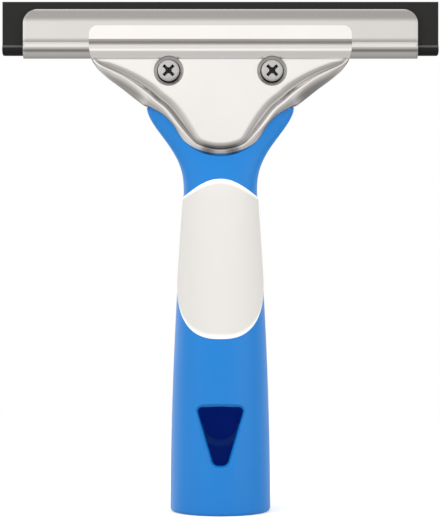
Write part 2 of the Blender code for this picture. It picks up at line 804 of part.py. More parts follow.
def channel_profile():
    """Outer face of the channel from the front lip round the spine to the back lip."""
    neck_angle = math.acos(LIP_EDGE / CHANNEL_RADIUS)
    neck = SPINE_LEVEL + CHANNEL_RADIUS * math.sin(neck_angle)
    lean_level = CHANNEL_TOP - LIP_LEAN_HEIGHT
    rows = [CHANNEL_TOP - CHANNEL_CORNER * (1 - math.cos(math.pi / 8 * i)) for i in range(5)]
    front = []
    for level in sorted([*rows, lean_level], reverse=True):
        lean = max(level - lean_level, 0.0) / LIP_LEAN_HEIGHT
        front.append((CHANNEL_HALF - LIP_LEAN * lean, level))
    front.append((CHANNEL_HALF, neck + NECK_HEIGHT + NECK_FOLD))
    front.append((LIP_EDGE, neck + NECK_HEIGHT))
    round_steps = 2 * ARC_STEPS
    bulge = []
    for i in range(round_steps + 1):
        angle = neck_angle - (math.pi + 2 * neck_angle) * i / round_steps
        level = SPINE_LEVEL + CHANNEL_RADIUS * math.sin(angle)
        bulge.append((CHANNEL_RADIUS * math.cos(angle), level))
    back = [(-depth, level) for depth, level in reversed(front)]
    return front + bulge + back


def channel_half_length(level):
    into_corner = level - (CHANNEL_TOP - CHANNEL_CORNER)
    reach = CHANNEL_CORNER
    if into_corner > 0:
        reach = math.sqrt(max(CHANNEL_CORNER**2 - into_corner**2, 0.0))
    return CHANNEL_LENGTH / 2 - CHANNEL_CORNER + reach


def build_channel(parts):
    bm = bmesh.new()
    rows = []
    for depth, level in channel_profile():
        half = channel_half_length(level)
        rows.append([bm.verts.new((x, -depth, level)) for x in (-half, half)])
    for upper, lower in zip(rows, rows[1:]):
        bm.faces.new((upper[0], lower[0], lower[1], upper[1]))
    mesh = bpy.data.meshes.new("channel")
    bm.to_mesh(mesh)
    bm.free()
    obj = add_mesh("channel", mesh, parts)
    solid = obj.modifiers.new("Sheet", "SOLIDIFY")
    solid.thickness = CHANNEL_SHEET
    solid.offset = -1.0
    solid.use_even_offset = True
    finish(obj, channel_steel())


def build_blade(parts):
    """The rubber: a flat blade with square edges on a round spine."""
    join_angle = math.acos(BLADE_HALF / SPINE_RADIUS)
    section = [(BLADE_HALF, BLADE_TOP)]
    steps = 3 * ARC_STEPS
    for i in range(steps + 1):
        angle = join_angle - (math.pi + 2 * join_angle) * i / steps
        section.append((SPINE_RADIUS * math.cos(angle), SPINE_LEVEL + SPINE_RADIUS * math.sin(angle)))
    section.append((-BLADE_HALF, BLADE_TOP))
    blade = plate("rubber_blade", section, BLADE_LENGTH, 0.0, parts)
    blade.data.transform(Matrix.Rotation(math.pi / 2, 4, "Z"))
    finish(blade, black_rubber())


def drive_cutter(name, collection):
    """The cross recess of a screw head, narrowing towards its bottom."""
    arms = []
    for turn in (1, 3):
        bm = bmesh.new()
        bmesh.ops.create_cube(bm, size=1.0)
        for vert in bm.verts:
            above = vert.co.z > 0
            narrow = 1.0 if above else DRIVE_TAPER
            vert.co.x *= DRIVE_SPAN * narrow
            vert.co.y *= DRIVE_WIDTH * narrow
            vert.co.z = HEAD_HEIGHT + GAP if above else HEAD_HEIGHT - DRIVE_DEPTH
        turned_arm = Matrix.Rotation(turn * math.pi / 4, 3, "Z")
        bmesh.ops.rotate(bm, verts=bm.verts, cent=(0, 0, 0), matrix=turned_arm)
        arms.append(as_cutter(close_mesh(bm, f"{name}_{turn}", collection)))
    return arms


def build_screws(parts, cutters):
    """Two pan-head screws, each turning about its own axis, which points out of the front."""
    radius = HEAD_DIAMETER / 2
    shank = SHANK_DIAMETER / 2
    length = 2 * (SEAT_LEVEL + GAP) + NUT_HEIGHT + THREAD_SHOWING
    profile = [(0, HEAD_HEIGHT)]
    for i in range(4):
        angle = math.pi / 2 * i / 3
        inset = HEAD_EDGE * (1 - math.sin(angle))
        profile.append((radius - inset, HEAD_HEIGHT - HEAD_EDGE * (1 - math.cos(angle))))
    profile += [(radius, 0), (shank, 0), (shank, GAP - length), (shank - GAP, -length), (0, -length)]
    steel = screw_steel()
    for hand, x in SCREW_PLACES:
        screw = turned(f"screw_{hand}", profile, parts)
        place = Matrix.Translation((x, -SEAT_LEVEL - GAP, SCREW_LEVEL)) @ Matrix.Rotation(math.pi / 2, 4, "X")
        screw.matrix_world = place
        for arm in drive_cutter(f"cut_drive_{hand}", cutters):
            arm.matrix_world = place
            boolean(screw, arm, "DIFFERENCE")
        finish(screw, steel)


def build_nuts(parts, cutters):
    steel = screw_steel()
    start = SEAT_LEVEL + GAP
    for hand, x in SCREW_PLACES:
        corner = NUT_WIDTH / math.sqrt(3)
        outline = []
        for i in range(6):
            angle = math.pi / 3 * i
            outline.append((x + corner * math.cos(angle), SCREW_LEVEL + corner * math.sin(angle)))
        nut = plate(f"nut_{hand}", outline, NUT_HEIGHT, start + NUT_HEIGHT / 2, parts)
        bore = peg(
            f"cut_nut_{hand}",
            HOLE_RADIUS,
            start - OVERCUT,
            start + NUT_HEIGHT + OVERCUT,
            x,
            SCREW_LEVEL,
            cutters,
        )
        boolean(nut, as_cutter(bore), "DIFFERENCE")
        finish(nut, steel)


def main():
    clear_scene()
    parts = new_collection(OBJECT_NAME)
    cutters = new_collection("cutters")
    build_handle(parts, cutters)
    build_grip(parts, cutters)
    build_jaws(parts, cutters)
    build_channel(parts)
    build_blade(parts)
    build_screws(parts, cutters)
    build_nuts(parts, cutters)


if __name__ == "__main__":
    main()
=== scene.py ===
"""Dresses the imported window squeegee: rubber blade, steel channel and jaws, moulded handle and soft grip.

Each operator builds one piece, or a pair of like pieces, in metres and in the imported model's own frame, and
hands it to the body that carries it. The origin is the centre of the handle's bottom rim, +Z runs up to the
blade, X runs along the blade and the front faces -Y.
"""

import math

import bmesh
import bpy
from bpy.props import FloatProperty, FloatVectorProperty, PointerProperty
from mathutils import Matrix, Vector


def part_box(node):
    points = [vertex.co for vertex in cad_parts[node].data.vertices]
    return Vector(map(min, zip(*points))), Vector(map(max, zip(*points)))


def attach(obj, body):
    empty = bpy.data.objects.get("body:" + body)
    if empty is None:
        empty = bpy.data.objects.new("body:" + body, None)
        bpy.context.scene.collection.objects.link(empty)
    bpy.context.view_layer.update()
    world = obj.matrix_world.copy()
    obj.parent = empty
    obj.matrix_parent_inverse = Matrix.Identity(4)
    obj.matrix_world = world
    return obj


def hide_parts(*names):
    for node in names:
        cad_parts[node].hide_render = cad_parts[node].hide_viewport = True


bl_info = {
    "name": "Window Squeegee",
    "version": (1, 0, 0),
    "blender": (4, 5, 0),
    "location": "View3D > Sidebar > Squeegee",
    "description": "Builds a window squeegee piece by piece, with its studio",
    "category": "Add Mesh",
}

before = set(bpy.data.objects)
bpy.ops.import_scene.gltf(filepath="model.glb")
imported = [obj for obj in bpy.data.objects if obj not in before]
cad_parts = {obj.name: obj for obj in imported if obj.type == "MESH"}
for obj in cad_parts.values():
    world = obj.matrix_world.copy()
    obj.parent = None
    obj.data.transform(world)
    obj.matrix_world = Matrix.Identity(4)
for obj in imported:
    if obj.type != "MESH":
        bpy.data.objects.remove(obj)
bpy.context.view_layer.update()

# Clearance between neighbours, how far a cutter runs past what it cuts, and the rounding of a sheet's edges
GAP = 0.0003
OVERCUT = 0.004
SHEET_EDGE = 0.00014

# Rubber: its broken edges, how its ends draw in and how far their lower corners are rounded
BLADE_EDGE = 0.00012
END_DRAW = 0.93
END_ROUND = 0.0007

# Channel: lean of its lips, neck above the spine, and the narrow strips at its ends
LIP_LEAN = 0.0006
LIP_LEAN_HEIGHT = 0.0035
LIP_LEAN_FADE = 0.0012
NECK_RUN_IN = 0.0012
NECK_HEIGHT = 0.0005
NECK_FOLD = 0.00015
NECK_DIP = 0.0003
NECK_TURN = 0.62
END_STRIP = 0.0012

# Bar of a jaw: lip, crimp and bulge
JAW_LIP_CORNER = 0.0030
JAW_END_SLANT = 0.0010
BULGE_ROOM = 0.00125
BULGE_SETTING = 0.00045
CRIMP_RUN_IN = 0.0005
CRIMP_DEPTH = 0.0006
CRIMP_HEIGHT = 0.0005
CRIMP_FOOT_SHARE = 0.9
CRIMP_FOOT_RISE = 0.0002
CRIMP_CREASE = 0.6
BAR_CREASE = 0.85

# Pan of a jaw: field, groove, ridge and skirt
PRESS_DEPTH = 0.0004
FIELD_FADE = 0.0009
FIELD_MARGIN = 0.0005
FIELD_FOOT = 0.004
FIELD_SPREAD = 1.8
FIELD_COLUMNS = (0, 0.35, 0.7)
GROOVE_REACH = 0.0031
GROOVE_FOOT = 0.72
GROOVE_CURVE = ((0.60, 0.08), (0.17, 0.90))
RIDGE_SHOULDER = 0.00065
RIDGE_SHOULDER_DROP = 0.00012
END_SHOULDER = 0.0007
SHOULDER_SHARE = 0.42
SEATED_SHOULDER_SHARE = 0.60
SKIRT_REACH = 0.0034
SKIRT_BREAK = 0.42
SEATED_SKIRT_DROP = 0.00075
FREE_EDGE_DEPTH = 0.0009
TONGUE_INSET = 0.0073

# The ridge round a jaw's pan, from the jaw's end to the foot of the pan: across, 1 is the tip of a wing and
# 2 the jaw's end; down from the bar, 1 is the tip of a wing and 2 the foot; then shares of groove and skirt
RIDGE_STATIONS = (
    (1.921, 0.000, 0.226, 0.200),
    (1.822, 0.117, 0.290, 0.400),
    (1.629, 0.239, 0.452, 0.765),
    (1.351, 0.417, 0.645, 1.040),
    (0.992, 0.748, 1.000, 1.070),
    (0.949, 0.804, 1.000, 1.040),
    (0.883, 0.902, 1.000, 0.765),
    (0.746, 1.076, 1.000, 0.540),
    (0.594, 1.389, 1.000, 0.330),
    (0.457, 1.643, 0.710, 0.600),
    (0.328, 1.854, 0.419, 0.520),
    (0.156, 1.955, 0.419, 0.600),
    (0.000, 2.000, 0.516, 0.560),
)
STATION_STEPS = 3

# Stations over which ridge and groove run in, and those from which the shoulder narrows, the painted shade
# on the brow deepens and the skirt is seated, each over as many stations as a blend takes
RIDGE_RUN_IN = 1.5
GROOVE_RUN_IN = 2.0
NARROW_STATION = 2
BROW_SHADE_STATION = 4
SEATED_STATION = 5
BLEND_STATIONS = 2

# Where the skirt sinks into the handle's pocket, in shares of half the wings' span
POCKET_START = 1.25
POCKET_RUN = 0.37

# The press draws the sheet thinner at a crest or a skirt narrower than these many thicknesses
CREST_ROOM = 2.4
SKIRT_ROOM = 1.4

# Painted light on the steel and rubber, as tones multiplied into their colour: painted shade in folds,
# grooves and seats, painted reflections and painted highlights on rounds; channel and rubber by the rise
# above the spine, a jaw's bar by the rise above the crimp's top, the seats by the distance from the
# screw's axis, and the pan's groove, ridge and skirt by the station
# Channel: painted dark reflections on the spine's round and on the leaning lips, painted highlight bands
# between
CHANNEL_PAINTED_LIGHT = (
    (-0.0033, 0.25), (-0.0029, 0.75), (-0.0024, 0.90), (-0.0016, 0.95), (-0.0012, 1.0), (-0.0009, 0.70),
    (-0.0006, 0.45), (-0.0002, 0.33), (0.0001, 0.48), (0.0005, 0.78), (0.0011, 1.12), (0.0020, 1.0),
    (0.0098, 1.0), (0.0112, 0.62), (0.0136, 0.62), (0.0140, 1.05),
)
# Rubber: painted shade low on the spine, and a bright painted highlight band along its round
RUBBER_PAINTED_LIGHT = (
    (-0.00205, 0.30), (0.0007, 0.45), (0.0009, 5.0), (0.0014, 5.0), (0.0018, 0.9), (0.0168, 0.9),
)
# Jaw's bar: painted shade in the crimp, and a faint painted highlight on the lip above it
CRIMP_PAINTED_LIGHT = (
    (-0.0069, 1.0), (-0.0066, 1.08), (-0.0036, 1.05), (-0.0026, 0.80), (-0.0018, 0.58), (-0.0013, 0.58),
    (-0.0009, 0.72), (-0.0001, 0.74), (0.0001, 1.05),
)
# Seats: painted shade in rings round each screw, darkest near the seat's outer edge
SEAT_PAINTED_SHADE = (
    (0.0, 0.50), (0.0039, 0.50), (0.0044, 0.64), (0.0048, 0.50), (0.0051, 0.30), (0.0053, 1.0),
    (0.0060, 1.0),
)
# Painted shadow round each screw head, its centre dropped below the axis so that it shows thicker under the
# head
SEAT_PAINTED_SHADOW = ((0.0, 0.03), (0.00385, 0.03), (0.0040, 1.0), (0.0060, 1.0))
SEAT_SHADOW_DROP = 0.0003
# Pan rim by station: painted shade and painted highlights on groove, ridge and skirt
RIDGE_PAINTED_LIGHT = (
    (0.0, 0.60, 1.0, 0.42), (1.0, 0.55, 1.0, 0.42), (2.0, 0.55, 1.0, 0.46), (3.3, 0.60, 1.05, 0.55),
    (4.5, 0.60, 1.1, 0.60), (8.0, 0.62, 1.1, 0.70), (9.6, 0.52, 1.05, 0.95), (10.3, 0.40, 1.0, 0.95),
    (10.7, 0.20, 0.40, 0.40), (11.2, 0.17, 0.25, 0.28), (11.5, 0.17, 0.60, 0.75), (12.0, 0.17, 0.75, 0.85),
)
# Painted shade at the edge of the flat field, where the groove starts
FIELD_EDGE_SHADE = 0.85

# Inside of the handle behind the window: its painted shade tint and dulling, and the painted highlight on the
# ledge under the dimple
SOCKET_TONE_MARGIN = 0.0020
SOCKET_SHADE_TINT = (4.0, 0.62, 1.5)
SOCKET_DULLING = 0.5
LEDGE_HIGHLIGHT_COLOUR = (0.070, 0.320, 0.950, 1.0)
LEDGE_HIGHLIGHT_TONES = ((0.0, 0.0), (0.0056, 0.0), (0.0063, 0.9), (0.0075, 0.9), (0.0084, 0.25), (0.0140, 0.20))

# Screws: thread, pan head, cross recess, and the painted shade in the recess and under the head
SHANK_RADIUS = 0.0020
THREAD_PITCH = 0.0007
THREAD_DEPTH = 0.00035
THREAD_SHOWING = 0.0010
THREAD_RUN_OUT = 0.0002
THREAD_SIDES = 24
TIP_CHAMFER = 0.0002
TIP_SHARE = 0.7
HEAD_CROWN = 0.00004
HEAD_ROUND = 0.00055
HEAD_UNDERCUT = 0.00045
HEAD_FOOT_INSET = 0.0004
DRIVE_SPANS = (0.0052, 0.0040)
DRIVE_WIDTHS = (0.00112, 0.00085)
DRIVE_DEPTH = 0.0014
DRIVE_PIT = ((0, 0.0005), (0.0008, 0.0012), (0.0012, 0.0026), (0, 0.0026))
RECESS_SHADE_DEPTH = 0.00025
RECESS_SHADE_REACH = 0.0031
UNDERCUT_SHADE_HEIGHT = 0.0007

# Screw seats, bores and nuts
CLAMP_RISE = 0.0163
SCREW_DROP = 0.0041
SEAT_MARGIN = 0.00005
SEAT_FLARE = 0.00135
SEAT_BLEND = 0.0002
SEAT_FOOT_RISE = 0.00004
SEAT_BROW = 0.0004
SEAT_BROW_SHARE = 0.82
SEAT_TOP_SHARE = 1.02
PAD_DEPTH = 0.001
PAD_RISE = 0.0002
JAW_BORE_REACH = 0.006
TONGUE_BORE_REACH = 0.008
NUT_HEIGHT = 0.0032
NUT_ROOM = 0.00005
NUT_FACE_SHARE = 0.97
NUT_CHAMFER = 30
NUT_COUNTERSINK = 0.0005
NUT_SIDES = 48

# Handle form
RIM_ROUND = 0.0013
BARREL_TAPER = 1.85
BARREL_SQUARENESS = 0.25
BARREL_RINGS = 40
FLARE_POWER = 1.4
WING_SQUARENESS = 0.75
WING_RINGS = 30
THINNING_POWER = 1.2
THINNING_STEEPNESS = 3.4
TIP_ROUND = 0.0008
SOCKET_DEPTH = 0.058
SOCKET_WALL = 0.0031
SOCKET_STRAIGHT = 0.042
SOCKET_END_RADIUS = 0.0113
MOUTH_CHAMFER = 0.0006
WINDOW_FOOT_WIDTH = 0.0046
WINDOW_TOP_ROUND = 0.0015
WINDOW_FOOT_ROUND = 0.0022
WINDOW_CORNER_STEPS = 8
WINDOW_EDGE_START = 0.3
WINDOW_EDGE_DEPTH = 1.5
WINDOW_OVERCUT = 0.003
LATCH_DIMPLE_RADIUS = 0.0065
LATCH_DIMPLE_LEVEL = 0.0292
LATCH_DIMPLE_DEPTH = 0.0007
POCKET_ROOM = 0.00004
HANDLE_SIDES = 160
ROUND_SIDES = 64

# Grip form
GRIP_THICKNESS = 0.0014
GRIP_PROUD = 0.0002
GRIP_ROUND = 0.0006
GRIP_FOOT_POWER = 2.6
GRIP_SIDES = 240
GRIP_ROWS = 36
GRIP_FIT_ROUNDS = 12
GRIP_FIT_SHARE = 0.6

# Brightness of the studio tent by height, in degrees from the horizon in front, over the top and round
# behind, and the place, size and power of the lamps
TENT_RADIUS = 1.6
TENT_LEVEL = 0.12
TENT_STRENGTH = 1.5
TENT_LEFT_LEAN = 0.25
TENT_MIDDLE = (
    (-180, 0.95), (-165, 0.90), (-145, 0.60), (-118, 0.50), (-90, 0.55), (-67, 0.60), (-43, 0.58),
    (-20, 0.58), (-8, 0.60), (-1, 0.75), (4, 1.08), (14, 1.04), (19, 0.94), (25, 0.84), (31, 0.88),
    (39, 1.02), (50, 1.12), (62, 1.08), (74, 0.80), (84, 0.48), (92, 0.24), (102, 0.12), (124, 0.12),
    (136, 0.40), (150, 0.85), (165, 1.00), (180, 1.00),
)
TENT_SIDES = (
    (-180, 1.35), (-165, 1.15), (-146, 0.70), (-120, 0.52), (-90, 0.50), (-60, 0.52), (-30, 0.70),
    (0, 1.05), (30, 1.10), (52, 0.70), (76, 0.40), (112, 0.38), (140, 0.85), (160, 1.20), (180, 1.35),
)
LAMPS = (
    ("key_left", (-0.9, -0.75, 0.75), (0.9, 0.9), 8.7),
    ("fill_right", (0.95, -0.7, 0.35), (0.8, 0.9), 6.2),
    ("top_soft", (0, -0.1, 1.3), (1.2, 0.8), 4.5),
)
LAMP_AIM = (0, 0, 0.09)
FLOOR_RADIUS = 8.0

# Camera, from the photograph's scale at the middle plane
PICTURE_HEIGHT = 518
METRES_PER_PIXEL = 0.00035
CAMERA_DISTANCE = 0.70
CAMERA_LEVEL = 0.088
CAMERA_SIDE = -0.00014
SENSOR = 36.0


def extent(node, axis):
    """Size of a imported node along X, Y or Z."""
    low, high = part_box(node)
    return high[axis] - low[axis]


def a_length(name, description, default):
    return FloatProperty(name=name, description=description, default=default, unit="LENGTH")


def a_colour(name, description, default):
    return FloatVectorProperty(name=name, description=description, default=default, subtype="COLOR")


class SqueegeeSizes(bpy.types.PropertyGroup):
    """Sizes of the squeegee's pieces."""

    blade_length: a_length("Blade Length", "Rubber from end to end", extent("rubber_blade", 0))
    blade_thickness: a_length("Blade Thickness", "Rubber from face to face", 0.0018)
    blade_reach: a_length("Blade Reach", "Rubber showing above the channel", 0.0027)
    spine_radius: a_length("Spine Radius", "Round spine of the rubber", 0.00205)
    channel_length: a_length("Channel Length", "Channel from end to end", extent("channel", 0))
    channel_sheet: a_length("Channel Sheet", "Thickness of the channel's steel", 0.0007)
    channel_rise: a_length("Channel Rise", "From the rubber's spine to the channel's lips", 0.0141)
    channel_corner: a_length("Channel Corner", "Radius of the lips' corners", 0.0049)
    jaw_width: a_length("Jaw Width", "Jaws from end to end", extent("front_jaw", 0))
    jaw_sheet: a_length("Jaw Sheet", "Thickness of the jaws' steel", 0.0010)
    lip_height: a_length("Lip Height", "Lip of a jaw above its bulge", 0.0057)
    ridge_height: a_length("Ridge Height", "Ridge above the flat field of a jaw", 0.0011)
    pan_depth: a_length("Pan Depth", "From the bulge down to the foot of the pan", 0.0320)
    screw_spacing: a_length("Screw Spacing", "Between the two clamp screws", 0.036)
    head_diameter: a_length("Head Diameter", "Across a screw head", 0.0075)
    head_height: a_length("Head Height", "Height of a screw head", 0.0022)
    nut_width: a_length("Nut Width", "Across the flats of a nut", 0.0070)
    rim_diameter: a_length("Rim Diameter", "Handle at its bottom rim", extent("handle_body", 1))
    neck_level: a_length("Neck Level", "Level of the handle's neck", 0.111)
    neck_width: a_length("Neck Width", "Handle across its neck", 0.0257)
    neck_depth: a_length("Neck Depth", "Handle through its neck", 0.0196)
    wing_rise: a_length("Wing Rise", "From the neck to the tips of the wings", 0.0303)
    wing_span: a_length("Wing Span", "Across the tips of the wings", 0.0516)
    wing_depth: a_length("Wing Depth", "Through the tips of the wings", 0.0088)
    grip_low: a_length("Grip Low Side", "Level where the grip's foot leaves its sides", 0.0798)
    grip_high: a_length("Grip High Side", "Level of the grip's upper corners", 0.1098)
    crown_rise: a_length("Crown Rise", "Rise of the grip's crown", 0.0061)
    foot_drop: a_length("Foot Drop", "Drop of the grip's foot", 0.0194)
    window_top: a_length("Window Top", "Level of the latch window's top", 0.0371)
    window_height: a_length("Window Height", "Height of the latch window", 0.0200)
    window_width: a_length("Window Width", "Top width of the latch window", 0.0164)
    window_bevel: a_length("Window Bevel", "Rounded edge of the latch window", 0.0017)


class SqueegeeColours(bpy.types.PropertyGroup):
    """Colours of the squeegee's finishes."""

    plastic: a_colour("Handle", "Blue of the moulded handle", (0.0020, 0.192, 0.580))
    elastomer: a_colour("Grip", "White of the soft grip", (0.685, 0.668, 0.640))
    jaw_steel: a_colour("Jaw Steel", "Bright pressed steel", (0.905, 0.875, 0.845))
    channel_steel: a_colour("Channel Steel", "Rolled steel", (0.71, 0.685, 0.66))
    screw_steel: a_colour("Screw Steel", "Plated screws and nuts", (0.72, 0.71, 0.69))
    rubber: a_colour("Rubber", "Black of the blade", (0.0145, 0.0142, 0.0135))


class Layout:
    """Depths from the middle plane and levels above the rim that follow from the sizes."""

    def __init__(self, sizes):
        self.blade_half = sizes.blade_thickness / 2
        self.lip_edge = self.blade_half + GAP + sizes.channel_sheet
        self.channel_half = self.lip_edge + LIP_LEAN
        self.channel_radius = sizes.spine_radius + GAP + sizes.channel_sheet
        self.jaw_inner = self.channel_half + GAP
        self.jaw_outer = self.jaw_inner + sizes.jaw_sheet
        self.bulge_apex = self.channel_radius + BULGE_ROOM + sizes.jaw_sheet
        sagitta = self.bulge_apex - self.jaw_outer
        self.bulge_radius = (self.channel_radius**2 + sagitta**2) / (2 * sagitta)
        self.seat_depth = self.jaw_outer - PRESS_DEPTH
        self.seat_radius = sizes.head_diameter / 2 + SEAT_MARGIN
        self.tongue_half = self.jaw_inner - PRESS_DEPTH - GAP
        self.wing_top = sizes.neck_level + sizes.wing_rise
        self.bar_level = self.wing_top + CLAMP_RISE
        self.bulge_level = self.bar_level + self.channel_radius
        self.bulge_centre = self.bulge_apex - self.bulge_radius
        self.crimp_angle = math.acos((self.jaw_outer - CRIMP_DEPTH - self.bulge_centre) / self.bulge_radius)
        self.crimp_top = self.bulge_level + self.bulge_radius * math.sin(self.crimp_angle) + CRIMP_HEIGHT
        self.spine_level = self.bulge_level + BULGE_SETTING
        self.channel_top = self.spine_level + sizes.channel_rise
        self.blade_top = self.channel_top + sizes.blade_reach
        self.lip_top = self.bulge_level + self.channel_radius + sizes.lip_height
        self.screw_level = self.bar_level - SCREW_DROP
        self.tongue_top = self.spine_level - self.channel_radius - GAP
        self.rim_radius = sizes.rim_diameter / 2
        self.socket_radius = self.rim_radius - SOCKET_WALL
        self.screw_places = (("left", -sizes.screw_spacing / 2), ("right", sizes.screw_spacing / 2))


def sizes_and_layout(context):
    sizes = context.scene.squeegee_sizes
    return sizes, Layout(sizes)


def smoothstep(t):
    t = min(max(t, 0.0), 1.0)
    return t * t * (3 - 2 * t)


def steps(start, end, count):
    return [start + (end - start) * i / count for i in range(count + 1)]


# Mesh work shared by the pieces


def neighbours(row, closed):
    return zip(row, row[1:] + row[:1]) if closed else zip(row, row[1:])


def swept(rows, closed=False):
    """A row of edges extruded through the rows of points. Returns the mesh, first and last edges."""
    bm = bmesh.new()
    row = [bm.verts.new(point) for point in rows[0]]
    first = [bm.edges.new(pair) for pair in neighbours(row, closed)]
    edges = first
    for points in rows[1:]:
        grown = bmesh.ops.extrude_edge_only(bm, edges=edges)["geom"]
        fresh = {item for item in grown if isinstance(item, bmesh.types.BMVert)}
        moved = []
        for vert, point in zip(row, points):
            mate = next(e.other_vert(vert) for e in vert.link_edges if e.other_vert(vert) in fresh)
            mate.co = point
            moved.append(mate)
        row = moved
        edges = [bm.edges.get(pair) for pair in neighbours(row, closed)]
    return bm, first, edges


def lofted(rings):
    """A closed solid through rings of points."""
    bm, first, last = swept(rings, closed=True)
    bmesh.ops.edgeloop_fill(bm, edges=first)
    bmesh.ops.edgeloop_fill(bm, edges=last)
    bmesh.ops.recalc_face_normals(bm, faces=bm.faces)
    return bm


def spun(profile, sides, **settings):
    """A profile of radius and height points spun once round Z."""
    bm = bmesh.new()
    verts = [bm.verts.new((radius, 0, height)) for radius, height in profile]
    geom = verts + [bm.edges.new(pair) for pair in zip(verts, verts[1:])]
    once_round = {"cent": (0, 0, 0), "axis": (0, 0, 1), "angle": 2 * math.pi}
    bmesh.ops.spin(bm, geom=geom, steps=sides, **once_round, **settings)
    return bm


def turned(profile, sides=ROUND_SIDES):
    """A solid turned round Z from a profile of radius and height points."""
    bm = spun(profile, sides, use_merge=True)
    bmesh.ops.remove_doubles(bm, verts=bm.verts, dist=1e-7)
    bmesh.ops.recalc_face_normals(bm, faces=bm.faces)
    return bm


def plug(radius, low, high):
    return turned([(0, low), (radius, low), (radius, high), (0, high)])


def slab(outline, near, far):
    """A flat outline of X and Z points, extruded along Y from near to far."""
    bm = bmesh.new()
    face = bm.faces.new([bm.verts.new((x, near, z)) for x, z in outline])
    grown = bmesh.ops.extrude_face_region(bm, geom=[face])["geom"]
    fresh = [item for item in grown if isinstance(item, bmesh.types.BMVert)]
    bmesh.ops.translate(bm, verts=fresh, vec=(0, far - near, 0))
    bmesh.ops.recalc_face_normals(bm, faces=bm.faces)
    return bm


def placed(bm, matrix):
    bmesh.ops.transform(bm, matrix=matrix, verts=bm.verts)
    return bm


def joined(bm, other):
    """Adds another mesh's geometry to bm."""
    mesh = bpy.data.meshes.new("joining")
    other.to_mesh(mesh)
    other.free()
    bm.from_mesh(mesh)
    bpy.data.meshes.remove(mesh)
    return bm


def as_object(bm, name):
    mesh = bpy.data.meshes.new(name)
    bm.to_mesh(mesh)
    bm.free()
    obj = bpy.data.objects.new(name, mesh)
    bpy.context.scene.collection.objects.link(obj)
    return obj


def settle(obj):
    """Applies the object's modifiers to its mesh."""
    evaluated = obj.evaluated_get(bpy.context.evaluated_depsgraph_get())
    mesh = bpy.data.meshes.new_from_object(evaluated)
    raw = obj.data
    obj.modifiers.clear()
    obj.data = mesh
    bpy.data.meshes.remove(raw)


def cut(obj, bm, operation="DIFFERENCE"):
    """Cuts, joins or trims an object with a closed mesh."""
    tool = as_object(bm, "tool")
    boolean = obj.modifiers.new("Cut", "BOOLEAN")
    boolean.operation = operation
    boolean.solver = "EXACT"
    boolean.object = tool
    settle(obj)
    raw = tool.data
    bpy.data.objects.remove(tool)
    bpy.data.meshes.remove(raw)


def soften(obj, width, angle):
    """Rounds the edges that are sharper than an angle."""
    bevel = obj.modifiers.new("Soften", "BEVEL")
    bevel.width = width
    bevel.segments = 2
    bevel.limit_method = "ANGLE"
    bevel.angle_limit = math.radians(angle)
    bevel.use_clamp_overlap = True
    settle(obj)


def mirrored(obj, clean=False):
    """Mirrors an object's left half at the middle, where clean first cuts off what lies past it."""
    mirror = obj.modifiers.new("Mirror", "MIRROR")
    mirror.use_bisect_axis[0] = clean
    mirror.use_bisect_flip_axis[0] = clean
    mirror.merge_threshold = 0.00001
    settle(obj)


def thicken(obj, thickness, group=""):
    """Gives an outer face its sheet thickness, inwards, thinned by a group of points if one is named."""
    bm = bmesh.new()
    bm.from_mesh(obj.data)
    bmesh.ops.recalc_face_normals(bm, faces=bm.faces)
    foremost = min(bm.faces, key=lambda face: face.calc_center_median().y)
    if foremost.normal.y > 0:
        bmesh.ops.reverse_faces(bm, faces=bm.faces)
    bm.to_mesh(obj.data)
    bm.free()
    solid = obj.modifiers.new("Sheet", "SOLIDIFY")
    solid.thickness = thickness
    solid.offset = -1.0
    solid.use_even_offset = True
    solid.vertex_group = group
    settle(obj)


def hand_over(obj, body, look, nodes, sharp=32):
    """Shades a finished piece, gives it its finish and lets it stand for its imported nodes."""
    obj.data.materials.clear()
    obj.data.materials.append(look)
    obj.data.shade_smooth()
    obj.data.set_sharp_from_angle(angle=math.radians(sharp))
    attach(obj, body)
    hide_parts(*nodes)


# Shader work shared by the finishes


def set_inputs(tree, made, inputs):
    """Links the inputs given as sockets and sets the others. Returns the node."""
    for name, value in inputs.items():
        socket = made.inputs[name]
        if isinstance(value, bpy.types.NodeSocket):
            tree.links.new(value, socket)
        else:
            socket.default_value = value
    return made


def add_node(tree, kind, inputs=None, **settings):
    """Adds a shader node with its settings and then its inputs."""
    made = tree.nodes.new("ShaderNode" + kind)
    for name, value in settings.items():
        setattr(made, name, value)
    return set_inputs(tree, made, inputs or {})


def calculated(tree, operation, *values, **settings):
    """The result of a calculation with numbers or sockets."""
    made = add_node(tree, "Math", dict(enumerate(values)), operation=operation, **settings)
    return made.outputs[0]


def blended(tree, share, first, second, **settings):
    """Two colours mixed, with share 0 as the first and 1 as the second."""
    made = add_node(tree, "Mix", {"Factor": share, 6: first, 7: second}, data_type="RGBA", **settings)
    return made.outputs[2]


def multiplied(tree, first, second):
    """Two colours multiplied."""
    return blended(tree, 1.0, first, second, blend_type="MULTIPLY")


def coordinate(tree, place, axis):
    return add_node(tree, "SeparateXYZ", {0: place}).outputs[axis]


def distance(tree, place):
    return add_node(tree, "VectorMath", {0: place}, operation="LENGTH").outputs["Value"]


def attribute(tree, name):
    return add_node(tree, "Attribute", attribute_name=name).outputs["Fac"]


def fill_ramp(ramp, stops):
    """Sets a ramp's stops from pairs of a place and a grey tone."""
    while len(ramp.elements) > 1:
        ramp.elements.remove(ramp.elements[-1])
    for i, (position, tone) in enumerate(stops):
        element = ramp.elements[0] if i == 0 else ramp.elements.new(position)
        element.position = position
        element.color = (tone, tone, tone, 1)


